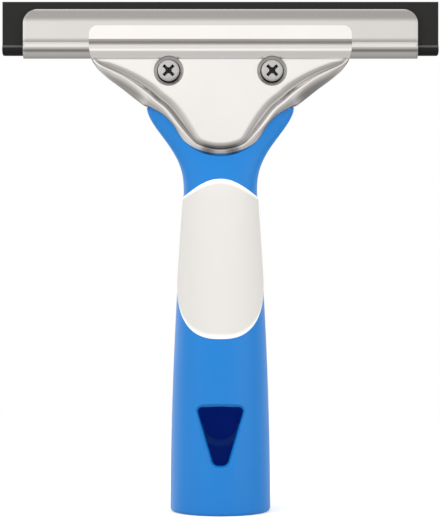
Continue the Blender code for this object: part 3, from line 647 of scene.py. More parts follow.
def ramped(tree, value, tones):
    """A tone read off a value, from pairs of a value and a tone."""
    low = tones[0][0]
    high = tones[-1][0]
    share = add_node(tree, "MapRange", {"Value": value, "From Min": low, "From Max": high})
    made = add_node(tree, "ValToRGB", {"Fac": share.outputs[0]})
    fill_ramp(made.color_ramp, [((at - low) / (high - low), tone) for at, tone in tones])
    return made.outputs[0]


def level_tone(tree, place, level, tones):
    """A tone by the rise above a level."""
    return ramped(tree, coordinate(tree, place, "Z"), [(level + rise, tone) for rise, tone in tones])


def axis_tone(tree, place, aside, level, tones):
    """A tone by the distance from two axes along Y at a level, each as far aside as the other."""
    reflected = calculated(tree, "ABSOLUTE", coordinate(tree, place, "X"))
    across = calculated(tree, "SUBTRACT", reflected, aside)
    along = calculated(tree, "SUBTRACT", coordinate(tree, place, "Z"), level)
    spot = add_node(tree, "CombineXYZ", {"X": across, "Y": along})
    return ramped(tree, distance(tree, spot.outputs[0]), tones)


def new_group(name, inputs, outputs):
    """A shader node group with named sockets. Returns the group, its input node and its output node."""
    group = bpy.data.node_groups.new(name, "ShaderNodeTree")
    for label, kind in inputs:
        group.interface.new_socket(label, in_out="INPUT", socket_type="NodeSocket" + kind)
    for label, kind in outputs:
        group.interface.new_socket(label, in_out="OUTPUT", socket_type="NodeSocket" + kind)
    return group, group.nodes.new("NodeGroupInput"), group.nodes.new("NodeGroupOutput")


def patch_group():
    """Slow, cloudy change of colour and roughness over a surface."""
    found = bpy.data.node_groups.get("Cloudy Patches")
    if found:
        return found
    inputs = [("Vector", "Vector"), ("Colour", "Color"), ("Second Colour", "Color"), ("Scale", "Float")]
    inputs += [("Contrast", "Float"), ("Roughness", "Float"), ("Roughness Spread", "Float")]
    outputs = [("Colour", "Color"), ("Roughness", "Float")]
    group, given, result = new_group("Cloudy Patches", inputs, outputs)
    held = given.outputs
    cloud = {"Vector": held["Vector"], "Scale": held["Scale"], "Detail": 4.0, "Roughness": 0.55}
    noise = add_node(group, "TexNoise", cloud).outputs["Fac"]
    share = calculated(group, "MULTIPLY", noise, held["Contrast"], use_clamp=True)
    mixed = blended(group, share, held["Colour"], held["Second Colour"])
    centred = calculated(group, "SUBTRACT", noise, 0.5)
    rough = calculated(group, "MULTIPLY_ADD", centred, held["Roughness Spread"], held["Roughness"])
    set_inputs(group, result, {"Colour": mixed, "Roughness": rough})
    return group


def grain_group():
    """Fine grain, stretched by its mapping into brush or roll lines."""
    found = bpy.data.node_groups.get("Fine Grain")
    if found:
        return found
    inputs = [("Vector", "Vector"), ("Stretch", "Vector"), ("Scale", "Float"), ("Depth", "Float")]
    group, given, result = new_group("Fine Grain", inputs, [("Height", "Float")])
    held = given.outputs
    stretched = add_node(group, "VectorMath", {0: held["Vector"], 1: held["Stretch"]}, operation="MULTIPLY")
    fine = {"Vector": stretched.outputs[0], "Scale": held["Scale"], "Detail": 3.0, "Roughness": 0.6}
    noise = add_node(group, "TexNoise", fine).outputs["Fac"]
    set_inputs(group, result, {"Height": calculated(group, "MULTIPLY", noise, held["Depth"])})
    return group


def scratch_group():
    """Hairline scratches that run in two directions, as a thin mask."""
    found = bpy.data.node_groups.get("Hairline Scratches")
    if found:
        return found
    inputs = [("Vector", "Vector"), ("Scale", "Float"), ("Amount", "Float")]
    group, given, result = new_group("Hairline Scratches", inputs, [("Mask", "Float")])
    held = given.outputs
    masks = []
    for turn, stretch in ((0.35, (1.0, 1.0, 9.0)), (-0.9, (7.0, 1.0, 1.0))):
        course = {"Vector": held["Vector"], "Rotation": (0, turn, 0), "Scale": stretch}
        mapping = add_node(group, "Mapping", course)
        net = {"Vector": mapping.outputs[0], "Scale": held["Scale"], "Randomness": 1.0}
        cells = add_node(group, "TexVoronoi", net, feature="DISTANCE_TO_EDGE")
        thin = {"Value": cells.outputs["Distance"], "From Max": 0.035, "To Min": 1.0, "To Max": 0.0}
        masks.append(add_node(group, "MapRange", thin).outputs[0])
    either = calculated(group, "MAXIMUM", *masks)
    gaps = add_node(group, "TexNoise", {"Vector": held["Vector"], "Scale": held["Scale"], "Detail": 1.0})
    kept = add_node(group, "MapRange", {"Value": gaps.outputs["Fac"], "From Min": 0.52, "From Max": 0.62})
    shown = calculated(group, "MULTIPLY", either, kept.outputs[0])
    set_inputs(group, result, {"Mask": calculated(group, "MULTIPLY", shown, held["Amount"])})
    return group


def place_group(tree, group, inputs):
    made = tree.nodes.new("ShaderNodeGroup")
    made.node_tree = group
    return set_inputs(tree, made, inputs).outputs


def clouded(tree, place, colour, tint, scale, contrast, roughness, spread):
    """Colour and roughness of the cloudy patches, from a colour to the same colour tinted."""
    values = {"Vector": place, "Scale": scale, "Contrast": contrast}
    values |= {"Colour": (*colour, 1), "Second Colour": tinted(colour, tint)}
    values |= {"Roughness": roughness, "Roughness Spread": spread}
    made = place_group(tree, patch_group(), values)
    return made["Colour"], made["Roughness"]


def tinted(colour, tint):
    return (*(part * share for part, share in zip(colour, tint)), 1)


def grained(tree, place, scale, depth, stretch=(1, 1, 1)):
    """Height of the fine grain."""
    values = {"Vector": place, "Stretch": stretch, "Scale": scale, "Depth": depth}
    return place_group(tree, grain_group(), values)["Height"]


def start_material(name):
    """A new material. Returns it with its node tree, its shader and the place on the object."""
    made = bpy.data.materials.new(name)
    made.use_nodes = True
    tree = made.node_tree
    coords = add_node(tree, "TexCoord")
    return made, tree, tree.nodes["Principled BSDF"], coords.outputs["Object"]


def finish(tree, shader, colour, roughness, height, plain):
    """Feeds colour, roughness and bump into a finish's shader and sets its plain values."""
    bump = add_node(tree, "Bump", {"Height": height, "Distance": 1.0, "Strength": 1.0})
    fed = {"Base Color": colour, "Roughness": roughness, "Normal": bump.outputs["Normal"]}
    set_inputs(tree, shader, fed | plain)


def hollow_mask(tree, place, radius, top):
    """1 inside a socket round the Z axis, up to a level, and 0 outside it and in its front wall."""
    flat = add_node(tree, "VectorMath", {0: place, 1: (1, 1, 0)}, operation="MULTIPLY")
    within = calculated(tree, "LESS_THAN", distance(tree, flat.outputs[0]), radius)
    below = calculated(tree, "LESS_THAN", coordinate(tree, place, "Z"), top)
    depth = {"Value": coordinate(tree, place, "Y"), "From Min": -radius / 2, "From Max": 0.0}
    behind = add_node(tree, "MapRange", depth)
    return calculated(tree, "MULTIPLY", calculated(tree, "MULTIPLY", within, below), behind.outputs[0])


def moulded_plastic(colour, sizes, layout):
    """Blue polypropylene with a fine matt grain and a slow change of tone, painted shade as a deeper tint in
    the socket, and a painted highlight on its ledge.
    """
    made, tree, shader, place = start_material("moulded_blue_plastic")
    patches, rough = clouded(
        tree, place, colour, (0.9, 0.9, 0.9), scale=42.0, contrast=0.8, roughness=0.42, spread=0.12
    )
    # Painted shade: a deeper tint inside the socket, behind its front wall
    radius = layout.socket_radius + SOCKET_TONE_MARGIN
    hollow = hollow_mask(tree, place, radius, sizes.window_top + SOCKET_TONE_MARGIN)
    # Painted highlight: a pale band on the ledge under the latch dimple
    ledge = axis_tone(tree, place, 0, LATCH_DIMPLE_LEVEL, LEDGE_HIGHLIGHT_TONES)
    low = calculated(tree, "LESS_THAN", coordinate(tree, place, "Z"), LATCH_DIMPLE_LEVEL)
    shown = calculated(tree, "MULTIPLY", ledge, low)
    inside = blended(tree, shown, tinted(colour, SOCKET_SHADE_TINT), LEDGE_HIGHLIGHT_COLOUR)
    shade = blended(tree, hollow, patches, inside)
    dulled = calculated(tree, "MULTIPLY_ADD", hollow, SOCKET_DULLING, rough)
    grain = grained(tree, place, scale=3200.0, depth=0.000012)
    finish(tree, shader, shade, dulled, grain, {"Specular IOR Level": 0.42})
    return made


def soft_elastomer(colour):
    """White elastomer, matt and faintly pebbled, with a painted highlight where its rim rounds over."""
    made, tree, shader, place = start_material("soft_white_elastomer")
    patches, rough = clouded(
        tree, place, colour, (0.96, 0.955, 0.95), scale=60.0, contrast=0.9, roughness=0.62, spread=0.10
    )
    # Painted highlight along the grip's rounded rims
    shade = blended(tree, attribute(tree, "rim"), patches, (0.97, 0.97, 0.98, 1))
    grain = grained(tree, place, scale=2300.0, depth=0.00003)
    finish(tree, shader, shade, rough, grain, {"Specular IOR Level": 0.3})
    return made


def jaw_tone(tree, place, sizes, layout):
    """A jaw's painted light: painted shade at the crimp under its lip, on groove, ridge and skirt round the
    pan and at the screws' seats, painted highlights on lip and ridge, and a painted shadow round the heads.
    """
    # Painted shade in the crimp under the lip
    crimp = level_tone(tree, place, layout.crimp_top, CRIMP_PAINTED_LIGHT)
    # Painted shade and highlights of groove, ridge and skirt, stored on the pressed sheet
    pressed = calculated(tree, "SUBTRACT", 1.0, attribute(tree, "painted_pan_shading"))
    aside = sizes.screw_spacing / 2
    # Painted shade in rings at the seats, and a painted shadow round the heads
    seat = axis_tone(tree, place, aside, layout.screw_level, SEAT_PAINTED_SHADE)
    seat_shadow = axis_tone(tree, place, aside, layout.screw_level - SEAT_SHADOW_DROP, SEAT_PAINTED_SHADOW)
    return multiplied(tree, multiplied(tree, crimp, pressed), multiplied(tree, seat, seat_shadow))


def worked_steel(name, colour, tone, roughness, stretch=(1, 1, 1)):
    """Steel with roll or tumbling grain, faint clouding, hairline scratches and its own painted shade and
    highlights.
    """
    made, tree, shader, place = start_material(name)
    patches, rough = clouded(
        tree, place, colour, (0.97, 0.96, 0.955), scale=55.0, contrast=0.9, roughness=roughness, spread=0.06
    )
    scratches = place_group(tree, scratch_group(), {"Vector": place, "Scale": 420.0, "Amount": 0.2})["Mask"]
    roughened = calculated(tree, "MULTIPLY_ADD", scratches, 0.12, rough)
    grain = grained(tree, place, scale=900.0, depth=0.0000008, stretch=stretch)
    scored = calculated(tree, "MULTIPLY_ADD", scratches, -0.0000006, grain)
    shade = multiplied(tree, patches, tone(tree, place))
    finish(tree, shader, shade, roughened, scored, {"Metallic": 1.0})
    return made


def turned_steel(colour):
    """Plated screw steel with the rings that turning leaves round the axis, and painted shade in its recess
    and undercut.
    """
    found = bpy.data.materials.get("plated_screw_steel")
    if found:
        return found
    made, tree, shader, place = start_material("plated_screw_steel")
    wave = calculated(tree, "SINE", calculated(tree, "MULTIPLY", attribute(tree, "turning"), 42000.0))
    grain = grained(tree, place, scale=2600.0, depth=0.000012)
    height = calculated(tree, "MULTIPLY_ADD", wave, 0.0000015, grain)
    patches, rough = clouded(
        tree, place, colour, (0.72, 0.72, 0.73), scale=2400.0, contrast=1.2, roughness=0.28, spread=0.2
    )
    # Painted shade, near black, in the cross recess and under the head
    recess_shaded = blended(tree, attribute(tree, "recess_shade"), patches, (0.035, 0.032, 0.030, 1))
    finish(tree, shader, recess_shaded, rough, height, {"Metallic": 1.0})
    return made


def black_rubber(colour, spine_level):
    """Black natural rubber with fine extrusion lines along its length, a trace of bloom and painted light by
    height.
    """
    made, tree, shader, place = start_material("black_blade_rubber")
    patches, rough = clouded(
        tree, place, colour, (1.5, 1.5, 1.5), scale=90.0, contrast=0.6, roughness=0.5, spread=0.16
    )
    # Painted shade low on the spine and a painted highlight band along its round, by the rise above the spine
    shade = multiplied(tree, patches, level_tone(tree, place, spine_level, RUBBER_PAINTED_LIGHT))
    lines = grained(tree, place, scale=2600.0, depth=0.00002, stretch=(0.02, 1, 1))
    finish(tree, shader, shade, rough, lines, {"Specular IOR Level": 0.2})
    return made


# Blade and channel


def round_share(layout, radius, opening, count):
    """Points round the spine from the front of an opening down, round and up to its back."""
    angle = math.acos(opening / radius)
    points = []
    for turn in steps(angle, -math.pi - angle, count):
        points.append((radius * math.cos(turn), layout.spine_level + radius * math.sin(turn)))
    return points


def blade_rings(sizes, layout):
    """Sections of the rubber from its left end to its right end."""
    half = layout.blade_half
    spine = layout.spine_level
    face = [(half - BLADE_EDGE, layout.blade_top), (half, layout.blade_top - BLADE_EDGE)]
    section = face + round_share(layout, sizes.spine_radius, half, 36)
    section += [(-depth, level) for depth, level in reversed(face)]
    reach = sizes.blade_length / 2
    ends = []
    for turn in steps(0, math.pi / 2, 4):
        share = 1 - END_ROUND * (1 - math.cos(turn)) / sizes.spine_radius
        ends.append((reach - END_ROUND * (1 - math.sin(turn)), share))
    rings = []
    for x, share in [(-x, share) for x, share in reversed(ends)] + ends:
        draw = END_DRAW if abs(x) > reach - BLADE_EDGE / 2 else 1.0
        rings.append([
            Vector((x, -depth * draw, level if level > spine else spine + (level - spine) * share))
            for depth, level in section
        ])
    return rings


class SQUEEGEE_OT_blade(bpy.types.Operator):
    """Build the rubber blade"""

    bl_idname = "squeegee.blade"
    bl_label = "Rubber Blade"

    def execute(self, context):
        sizes, layout = sizes_and_layout(context)
        obj = as_object(lofted(blade_rings(sizes, layout)), "blade_rubber")
        look = black_rubber(context.scene.squeegee_colours.rubber, layout.spine_level)
        hand_over(obj, "rubber_blade", look, ["rubber_blade"])
        return {"FINISHED"}


def channel_section(sizes, layout):
    """Outer face of the channel from the front lip round the spine to the back lip."""
    half = layout.channel_half
    radius = layout.channel_radius
    neck = layout.spine_level + math.sqrt(radius**2 - layout.lip_edge**2) + NECK_HEIGHT
    lean_level = layout.channel_top - LIP_LEAN_HEIGHT - LIP_LEAN_FADE
    front = []
    for turn in steps(0, math.pi / 2, 10):
        level = layout.channel_top - sizes.channel_corner * (1 - math.cos(turn))
        lean = smoothstep((level - lean_level) / (LIP_LEAN_HEIGHT + LIP_LEAN_FADE))
        front.append((half - LIP_LEAN * lean, level))
    front += [(half, neck + NECK_FOLD + NECK_RUN_IN), (half, neck), (half - NECK_DIP, neck - NECK_FOLD)]
    around = round_share(layout, radius, radius * math.cos(NECK_TURN), 32)
    return front + around + [(-depth, level) for depth, level in reversed(front)]


def corner_half(length, corner, top, level):
    """Half length of a sheet at a level, rounded at its upper corners."""
    into = level - (top - corner)
    reach = math.sqrt(max(corner**2 - into**2, 0.0)) if into > 0 else corner
    return length / 2 - corner + reach


class SQUEEGEE_OT_channel(bpy.types.Operator):
    """Build the folded steel channel"""

    bl_idname = "squeegee.channel"
    bl_label = "Channel"

    def execute(self, context):
        sizes, layout = sizes_and_layout(context)
        rows = []
        for depth, level in channel_section(sizes, layout):
            half = corner_half(sizes.channel_length, sizes.channel_corner, layout.channel_top, level)
            ends = half - END_STRIP
            columns = (-half, -ends, -0.6 * half, 0, 0.6 * half, ends, half)
            rows.append([Vector((x, -depth, level)) for x in columns])
        bm, _first, _last = swept(rows)
        obj = as_object(bm, "channel_steel")
        thicken(obj, sizes.channel_sheet)
        soften(obj, SHEET_EDGE, angle=60)

        # The channel's painted reflections, shade and highlights, in bands by height
        def tone(tree, place):
            return level_tone(tree, place, layout.spine_level, CHANNEL_PAINTED_LIGHT)

        colour = context.scene.squeegee_colours.channel_steel
        look = worked_steel("rolled_channel_steel", colour, tone, roughness=0.16, stretch=(0.04, 1, 1))
        hand_over(obj, "channel", look, ["channel"], sharp=28)
        return {"FINISHED"}


# Pressed jaws


def span(share, first, last):
    """A place along two spans that meet at first: share 1 is first and share 2 is last."""
    return share * first if share <= 1 else first + (share - 1) * (last - first)


def ridge_samples(sizes, layout):
    """Smooth samples of the left ridge: point, outward direction, groove width, edge width, station."""
    rows = []
    for across, down, groove, skirt in RIDGE_STATIONS:
        x = span(across, sizes.wing_span / 2, sizes.jaw_width / 2)
        drop = span(down, CLAMP_RISE, sizes.pan_depth)
        rows.append(Vector((-x, layout.bar_level - drop, groove * GROOVE_REACH, skirt * SKIRT_REACH)))
    before = Vector((rows[0][0], 2 * rows[0][1] - rows[1][1], *rows[1][2:]))
    after = Vector((-rows[-2][0], rows[-2][1], *rows[-2][2:]))
    rows = [before, *rows, after]
    samples = []
    for i in range(1, len(rows) - 2):
        for k in range(STATION_STEPS):
            samples.append(spline_sample(rows, i, k / STATION_STEPS))
    samples.append(spline_sample(rows, len(rows) - 3, 1.0))
    return samples


def spline_sample(rows, i, t):
    """A point of the smooth curve through rows, with its outward direction in X and Z."""
    a, b, c, d = rows[i - 1 : i + 3]
    before, here, after = ((q - p).xy.length for p, q in ((a, b), (b, c), (c, d)))
    start = ((b - a) * here / before + (c - b) * before / here) / (before + here) * here
    end = ((c - b) * after / here + (d - c) * here / after) / (here + after) * here
    point = b * (2 * t**3 - 3 * t**2 + 1) + c * (3 * t**2 - 2 * t**3)
    point += start * (t**3 - 2 * t**2 + t) + end * (t**3 - t**2)
    slope = (c - b) * (6 * t - 6 * t**2) + start * (3 * t**2 - 4 * t + 1) + end * (3 * t**2 - 2 * t)
    tangent = slope.xy.normalized()
    return point.xy, Vector((tangent[1], -tangent[0])), point[2], point[3], i - 1 + t


def blend(station, start):
    """Rises from 0 to 1 over the next stations from a start."""
    return smoothstep((station - start) / BLEND_STATIONS)


def pan_row(sizes, layout, sample):
    """Points across the pan's rim at one sample, from the field out to the free edge."""
    point, outward, groove, edge, station = sample
    outer = layout.jaw_outer
    fade = smoothstep(station / RIDGE_RUN_IN)
    crest = outer + sizes.ridge_height
    hollow = outer - PRESS_DEPTH
    seated_share = SEATED_SHOULDER_SHARE - SHOULDER_SHARE
    into_pocket = smoothstep((POCKET_START + 2 * point[0] / sizes.wing_span) / POCKET_RUN)
    rim = FREE_EDGE_DEPTH + (crest - SEATED_SKIRT_DROP - FREE_EDGE_DEPTH) * into_pocket
    broad = RIDGE_SHOULDER + END_SHOULDER * (1 - blend(station, NARROW_STATION))
    shoulder = min(broad, edge * (SHOULDER_SHARE + seated_share * blend(station, SEATED_STATION)))
    field_edge = -groove - min(FIELD_FADE, groove)
    offsets = [(field_edge - FIELD_MARGIN, outer), (field_edge, outer), (-GROOVE_FOOT * groove, hollow)]
    for share, rise in GROOVE_CURVE:
        offsets.append((-share * groove, hollow + rise * (crest - hollow)))
    brow = crest - RIDGE_SHOULDER_DROP
    offsets += [(0.0, crest), (shoulder, brow)]
    offsets.append((shoulder + SKIRT_BREAK * (edge - shoulder), brow + SKIRT_BREAK * (rim - brow)))
    offsets.append((edge, rim))
    inward = Vector((1.0, 0.0)).lerp(-outward, smoothstep(station / GROOVE_RUN_IN))
    inward /= inward.dot(-outward)
    row = []
    for offset, depth in offsets:
        x, z = point + outward * offset if offset > 0 else point - inward * offset
        row.append(Vector((x, -(outer + (depth - outer) * fade), z)))
    return row


def drawn_thickness(sizes, sample):
    """Shares of the sheet's thickness that the press leaves at the ridge's crest and at the free edge."""
    _point, _outward, groove, edge, _station = sample
    crest = GROOVE_CURVE[-1][0] * groove + min(RIDGE_SHOULDER, SHOULDER_SHARE * edge)
    shares = (crest / (CREST_ROOM * sizes.jaw_sheet), edge / (SKIRT_ROOM * sizes.jaw_sheet))
    return [min(share, 1.0) for share in shares]


def press_tones(station):
    """Painted shade and highlight tones of the pan's rim at a station, in the order of pan_row's points."""
    before, after = next(pair for pair in zip(RIDGE_PAINTED_LIGHT, RIDGE_PAINTED_LIGHT[1:]) if station <= pair[1][0])
    share = (station - before[0]) / (after[0] - before[0])
    groove, ridge, skirt = (b + (a - b) * share for b, a in zip(before[1:], after[1:]))
    brow = ridge + (skirt - ridge) / 2 * blend(station, BROW_SHADE_STATION)
    inner = [1.0, max((1 + groove) / 2, FIELD_EDGE_SHADE), groove, groove, (groove + ridge) / 2]
    return inner + [ridge, brow, skirt, skirt]


def bar_section(layout):
    """Section of the bar from the lip's top down to the field, as depth and level points."""
    outer = layout.jaw_outer
    top = layout.crimp_top
    radius = layout.bulge_radius
    foot_angle = -math.asin(layout.channel_radius / radius)
    section = []
    for turn in steps(0, math.pi / 2, 5):
        section.append((outer, layout.lip_top - JAW_LIP_CORNER * (1 - math.cos(turn))))
    section += [(outer, top + CRIMP_RUN_IN), (outer, top)]
    section.append((outer - CRIMP_FOOT_SHARE * CRIMP_DEPTH, top - CRIMP_HEIGHT + CRIMP_FOOT_RISE))
    for turn in steps(layout.crimp_angle, foot_angle, 9):
        depth = layout.bulge_centre + radius * math.cos(turn)
        section.append((depth, layout.bulge_level + radius * math.sin(turn)))
    return section


def bar_rows(sizes, layout, shares):
    """Rows of the bar's left half from the lip down to the field, with points at shares of its length."""
    rows = []
    for depth, level in bar_section(layout):
        half = corner_half(sizes.jaw_width, JAW_LIP_CORNER, layout.lip_top, level)
        into_bulge = max(layout.bulge_level + layout.channel_radius - level, 0)
        half -= JAW_END_SLANT * (into_bulge / (2 * layout.channel_radius)) ** 2
        rows.append([Vector((-share * half, -depth, level)) for share in shares])
    return rows


def jaw_sheet(sizes, layout):
    """Outer face of the left half of a jaw, in one piece: lip, bulge, field, groove, ridge and skirt."""
    samples = ridge_samples(sizes, layout)
    rims = [pan_row(sizes, layout, sample) for sample in samples]
    for point in rims[-1]:
        point.x = 0.0
    low = rims[-1][0].z + FIELD_FOOT
    rows = []
    for i, rim in enumerate(rims):
        level = layout.bar_level + (low - layout.bar_level) * (i / (len(rims) - 1)) ** FIELD_SPREAD
        middle = Vector((0.0, -layout.jaw_outer, level))
        rows.append([middle.lerp(rim[0], share) for share in FIELD_COLUMNS] + rim)
    bars = bar_rows(sizes, layout, [point.x / rows[0][-1].x for point in rows[0]])
    drawn = {}
    tones = {}
    for sample, rim in zip(samples, rims):
        places = [point.to_tuple(7) for point in rim]
        crest, skirt = drawn_thickness(sizes, sample)
        tones.update(zip(places, press_tones(sample[4])))
        drawn.update(dict.fromkeys(places[-5:-1], crest))
        drawn[places[-1]] = skirt
    bm, _first, _last = swept(bars[:-1] + rows)
    crease = bm.edges.layers.float.new("crease_edge")
    thickness = bm.verts.layers.deform.verify()
    shade = bm.verts.layers.float.new("painted_pan_shading")
    for level, sharpness in ((layout.bar_level, BAR_CREASE), (layout.crimp_top, CRIMP_CREASE)):
        for edge in bm.edges:
            if all(abs(vert.co.z - level) < 1e-6 for vert in edge.verts):
                edge[crease] = sharpness
    for vert in bm.verts:
        vert[thickness][0] = drawn.get(vert.co.to_tuple(7), 1.0)
        # Painted shade and highlights of the pan's rim, kept as 1 less the tone
        vert[shade] = 1.0 - tones.get(vert.co.to_tuple(7), 1.0)
    return bm


def seat_tool(layout):
    """Presses the dished seat of a screw, modelled along Z."""
    inner = layout.seat_radius
    outer = inner + SEAT_FLARE
    profile = [(0, 0), (inner - SEAT_BLEND, 0), (inner + SEAT_BLEND, SEAT_FOOT_RISE)]
    profile += [(outer - SEAT_BROW, SEAT_BROW_SHARE * PRESS_DEPTH), (outer, SEAT_TOP_SHARE * PRESS_DEPTH)]
    return turned([*profile, (outer, OVERCUT), (0, OVERCUT)])


def screw_bore(reach):
    return plug(SHANK_RADIUS + GAP, -reach, reach)


def screw_axis(layout, side, x, depth):
    """Places a piece modelled along Z on a screw's axis, pointing out of the front or back face."""
    turn = Matrix.Rotation(-side * math.pi / 2, 4, "X")
    return Matrix.Translation((x, side * depth, layout.screw_level)) @ turn


class SQUEEGEE_OT_jaws(bpy.types.Operator):
    """Build the two pressed jaws"""

    bl_idname = "squeegee.jaws"
    bl_label = "Jaws"

    def execute(self, context):
        sizes, layout = sizes_and_layout(context)

        def tone(tree, place):
            return jaw_tone(tree, place, sizes, layout)

        colour = context.scene.squeegee_colours.jaw_steel
        look = worked_steel("pressed_jaw_steel", colour, tone, roughness=0.18)
        place = screw_axis(layout, -1, -sizes.screw_spacing / 2, layout.seat_depth)
        for node, body in (("front_jaw", "front_jaw"), ("back_jaw", "handle")):
            obj = as_object(jaw_sheet(sizes, layout), node + "_pressing")
            obj.vertex_groups.new(name="sheet_thickness")
            mirrored(obj)
            smooth = obj.modifiers.new("Form", "SUBSURF")
            smooth.levels = 2
            smooth.render_levels = 2
            settle(obj)
            thicken(obj, sizes.jaw_sheet, "sheet_thickness")
            soften(obj, SHEET_EDGE, angle=60)
            cut(obj, placed(plug(layout.seat_radius, -PAD_DEPTH, PAD_RISE), place), "UNION")
            cut(obj, placed(seat_tool(layout), place))
            cut(obj, placed(screw_bore(JAW_BORE_REACH), place))
            mirrored(obj, clean=True)
            if node == "back_jaw":
                obj.data.transform(Matrix.Rotation(math.pi, 4, "Z"))
            hand_over(obj, body, look, [node], sharp=28)
        return {"FINISHED"}


# Screws and nuts


def mark_turning(obj, axis_point):
    """Stores each point's distance from the piece's axis for the turning marks."""
    marks = obj.data.attributes.new("turning", "FLOAT", "POINT")
    for i, vert in enumerate(obj.data.vertices):
        marks.data[i].value = math.hypot(vert.co.x - axis_point[0], vert.co.z - axis_point[1])


def mark_recess_shade(obj, sizes):
    """Marks the cross recess and the undercut of a head, modelled upright, for the painted shade there."""
    recess_shade = obj.data.attributes.new("recess_shade", "FLOAT", "CORNER")
    for face in obj.data.polygons:
        height = face.center.z
        sunk = height < sizes.head_height - RECESS_SHADE_DEPTH and face.center.xy.length < RECESS_SHADE_REACH
        for corner in face.loop_indices:
            recess_shade.data[corner].value = 1.0 if sunk or height < UNDERCUT_SHADE_HEIGHT else 0.0


def cross_arm(sizes, turn):
    """One arm of the cross recess, narrowing towards its bottom."""
    bm = bmesh.new()
    bmesh.ops.create_cube(bm, size=1.0)
    for vert in bm.verts:
        low = vert.co.z < 0
        vert.co.x *= DRIVE_SPANS[low]
        vert.co.y *= DRIVE_WIDTHS[low]
        vert.co.z = sizes.head_height + (-DRIVE_DEPTH if low else GAP)
    bmesh.ops.rotate(bm, verts=bm.verts, cent=(0, 0, 0), matrix=Matrix.Rotation(turn, 3, "Z"))
    return bm


def head_profile(sizes):
    """Pan head from its middle over the rounded edge down to the shank."""
    radius = sizes.head_diameter / 2
    profile = [(0, sizes.head_height), (radius * 0.5, sizes.head_height - HEAD_CROWN / 4)]
    for turn in steps(0, math.pi / 2, 6):
        height = sizes.head_height - HEAD_CROWN - HEAD_ROUND * (1 - math.cos(turn))
        profile.append((radius - HEAD_ROUND + HEAD_ROUND * math.sin(turn), height))
    profile += [(radius, HEAD_UNDERCUT), (radius - HEAD_FOOT_INSET, 0)]
    return profile + [(SHANK_RADIUS - THREAD_DEPTH, 0), (0, 0)]


def threaded_shank(length):
    """A shank with a true helical thread, from under the head to its tip."""
    minor = SHANK_RADIUS - THREAD_DEPTH
    flank = ((minor, 0), (minor, 0.1), (SHANK_RADIUS, 0.5), (SHANK_RADIUS, 0.6))
    points = []
    level = -length
    while level < THREAD_RUN_OUT:
        points += [(radius, level + share * THREAD_PITCH) for radius, share in flank]
        level += THREAD_PITCH
    bm = spun(points, THREAD_SIDES, dvec=(0, 0, THREAD_PITCH / THREAD_SIDES))
    bmesh.ops.remove_doubles(bm, verts=bm.verts, dist=1e-6)
    bmesh.ops.recalc_face_normals(bm, faces=bm.faces)
    core = [(0, -length), (minor * TIP_SHARE, -length), (minor, TIP_CHAMFER - length), (minor, 0), (0, 0)]
    return joined(bm, turned(core, THREAD_SIDES))


class SQUEEGEE_OT_screws(bpy.types.Operator):
    """Build the two cross-recess screws"""

    bl_idname = "squeegee.screws"
    bl_label = "Screws"

    def execute(self, context):
        sizes, layout = sizes_and_layout(context)
        look = turned_steel(context.scene.squeegee_colours.screw_steel)
        length = 2 * (layout.seat_depth + GAP) + NUT_HEIGHT + THREAD_SHOWING
        for hand, x in layout.screw_places:
            node = "screw_" + hand
            obj = as_object(turned(head_profile(sizes)), node + "_steel")
            for turn in (math.pi / 4, 3 * math.pi / 4):
                cut(obj, cross_arm(sizes, turn))
            cut(obj, turned(DRIVE_PIT, THREAD_SIDES))
            mark_recess_shade(obj, sizes)
            bm = bmesh.new()
            bm.from_mesh(obj.data)
            joined(bm, threaded_shank(length))
            placed(bm, screw_axis(layout, -1, x, layout.seat_depth + GAP))
            bm.to_mesh(obj.data)
            bm.free()
            mark_turning(obj, (x, layout.screw_level))
            hand_over(obj, node, look, [node])
        return {"FINISHED"}


def nut_prism(corner):
    """A hexagon prism with its corners at a radius."""
    bm = bmesh.new()
    bmesh.ops.create_cone(bm, cap_ends=True, segments=6, radius1=corner, radius2=corner, depth=NUT_HEIGHT)
    turn = Matrix.Rotation(math.pi / 6, 4, "Z")
    return placed(bm, Matrix.Translation((0, 0, NUT_HEIGHT / 2)) @ turn)


def nut_form(sizes, corner):
    """Turned ring that trims a nut's corners and opens and countersinks its bore."""
    bore = SHANK_RADIUS + NUT_ROOM
    sunk = bore + NUT_COUNTERSINK
    wide = corner + GAP
    flat = sizes.nut_width / 2 * NUT_FACE_SHARE
    rise = (wide - flat) * math.tan(math.radians(NUT_CHAMFER))
    high = NUT_HEIGHT + GAP
    ring = [(bore, NUT_COUNTERSINK), (sunk, -GAP), (wide, -GAP), (wide, NUT_HEIGHT - rise)]
    ring += [(flat, NUT_HEIGHT), (flat - GAP, high), (sunk, high), (bore, NUT_HEIGHT - NUT_COUNTERSINK)]
    return turned([*ring, ring[0]], NUT_SIDES)


class SQUEEGEE_OT_nuts(bpy.types.Operator):
    """Build the two hexagon nuts"""

    bl_idname = "squeegee.nuts"
    bl_label = "Nuts"

    def execute(self, context):
        sizes, layout = sizes_and_layout(context)
        look = turned_steel(context.scene.squeegee_colours.screw_steel)
        corner = sizes.nut_width / math.sqrt(3)
        for hand, x in layout.screw_places:
            node = "nut_" + hand
            obj = as_object(nut_prism(corner), node + "_steel")
            cut(obj, nut_form(sizes, corner), "INTERSECT")
            obj.data.transform(screw_axis(layout, 1, x, layout.seat_depth + GAP))
            mark_turning(obj, (x, layout.screw_level))
            hand_over(obj, "handle", look, [node])
        return {"FINISHED"}


# Handle and grip


def barrel_half(sizes, level, neck):
    """Half width or depth of the barrel at a level, drawn in from the round rim to the neck's half."""
    rim = sizes.rim_diameter / 2
    return rim + (neck - rim) * min(max(level / sizes.neck_level, 0.0), 1.0) ** BARREL_TAPER


def wing_share(sizes, level):
    return (level - sizes.neck_level) / sizes.wing_rise


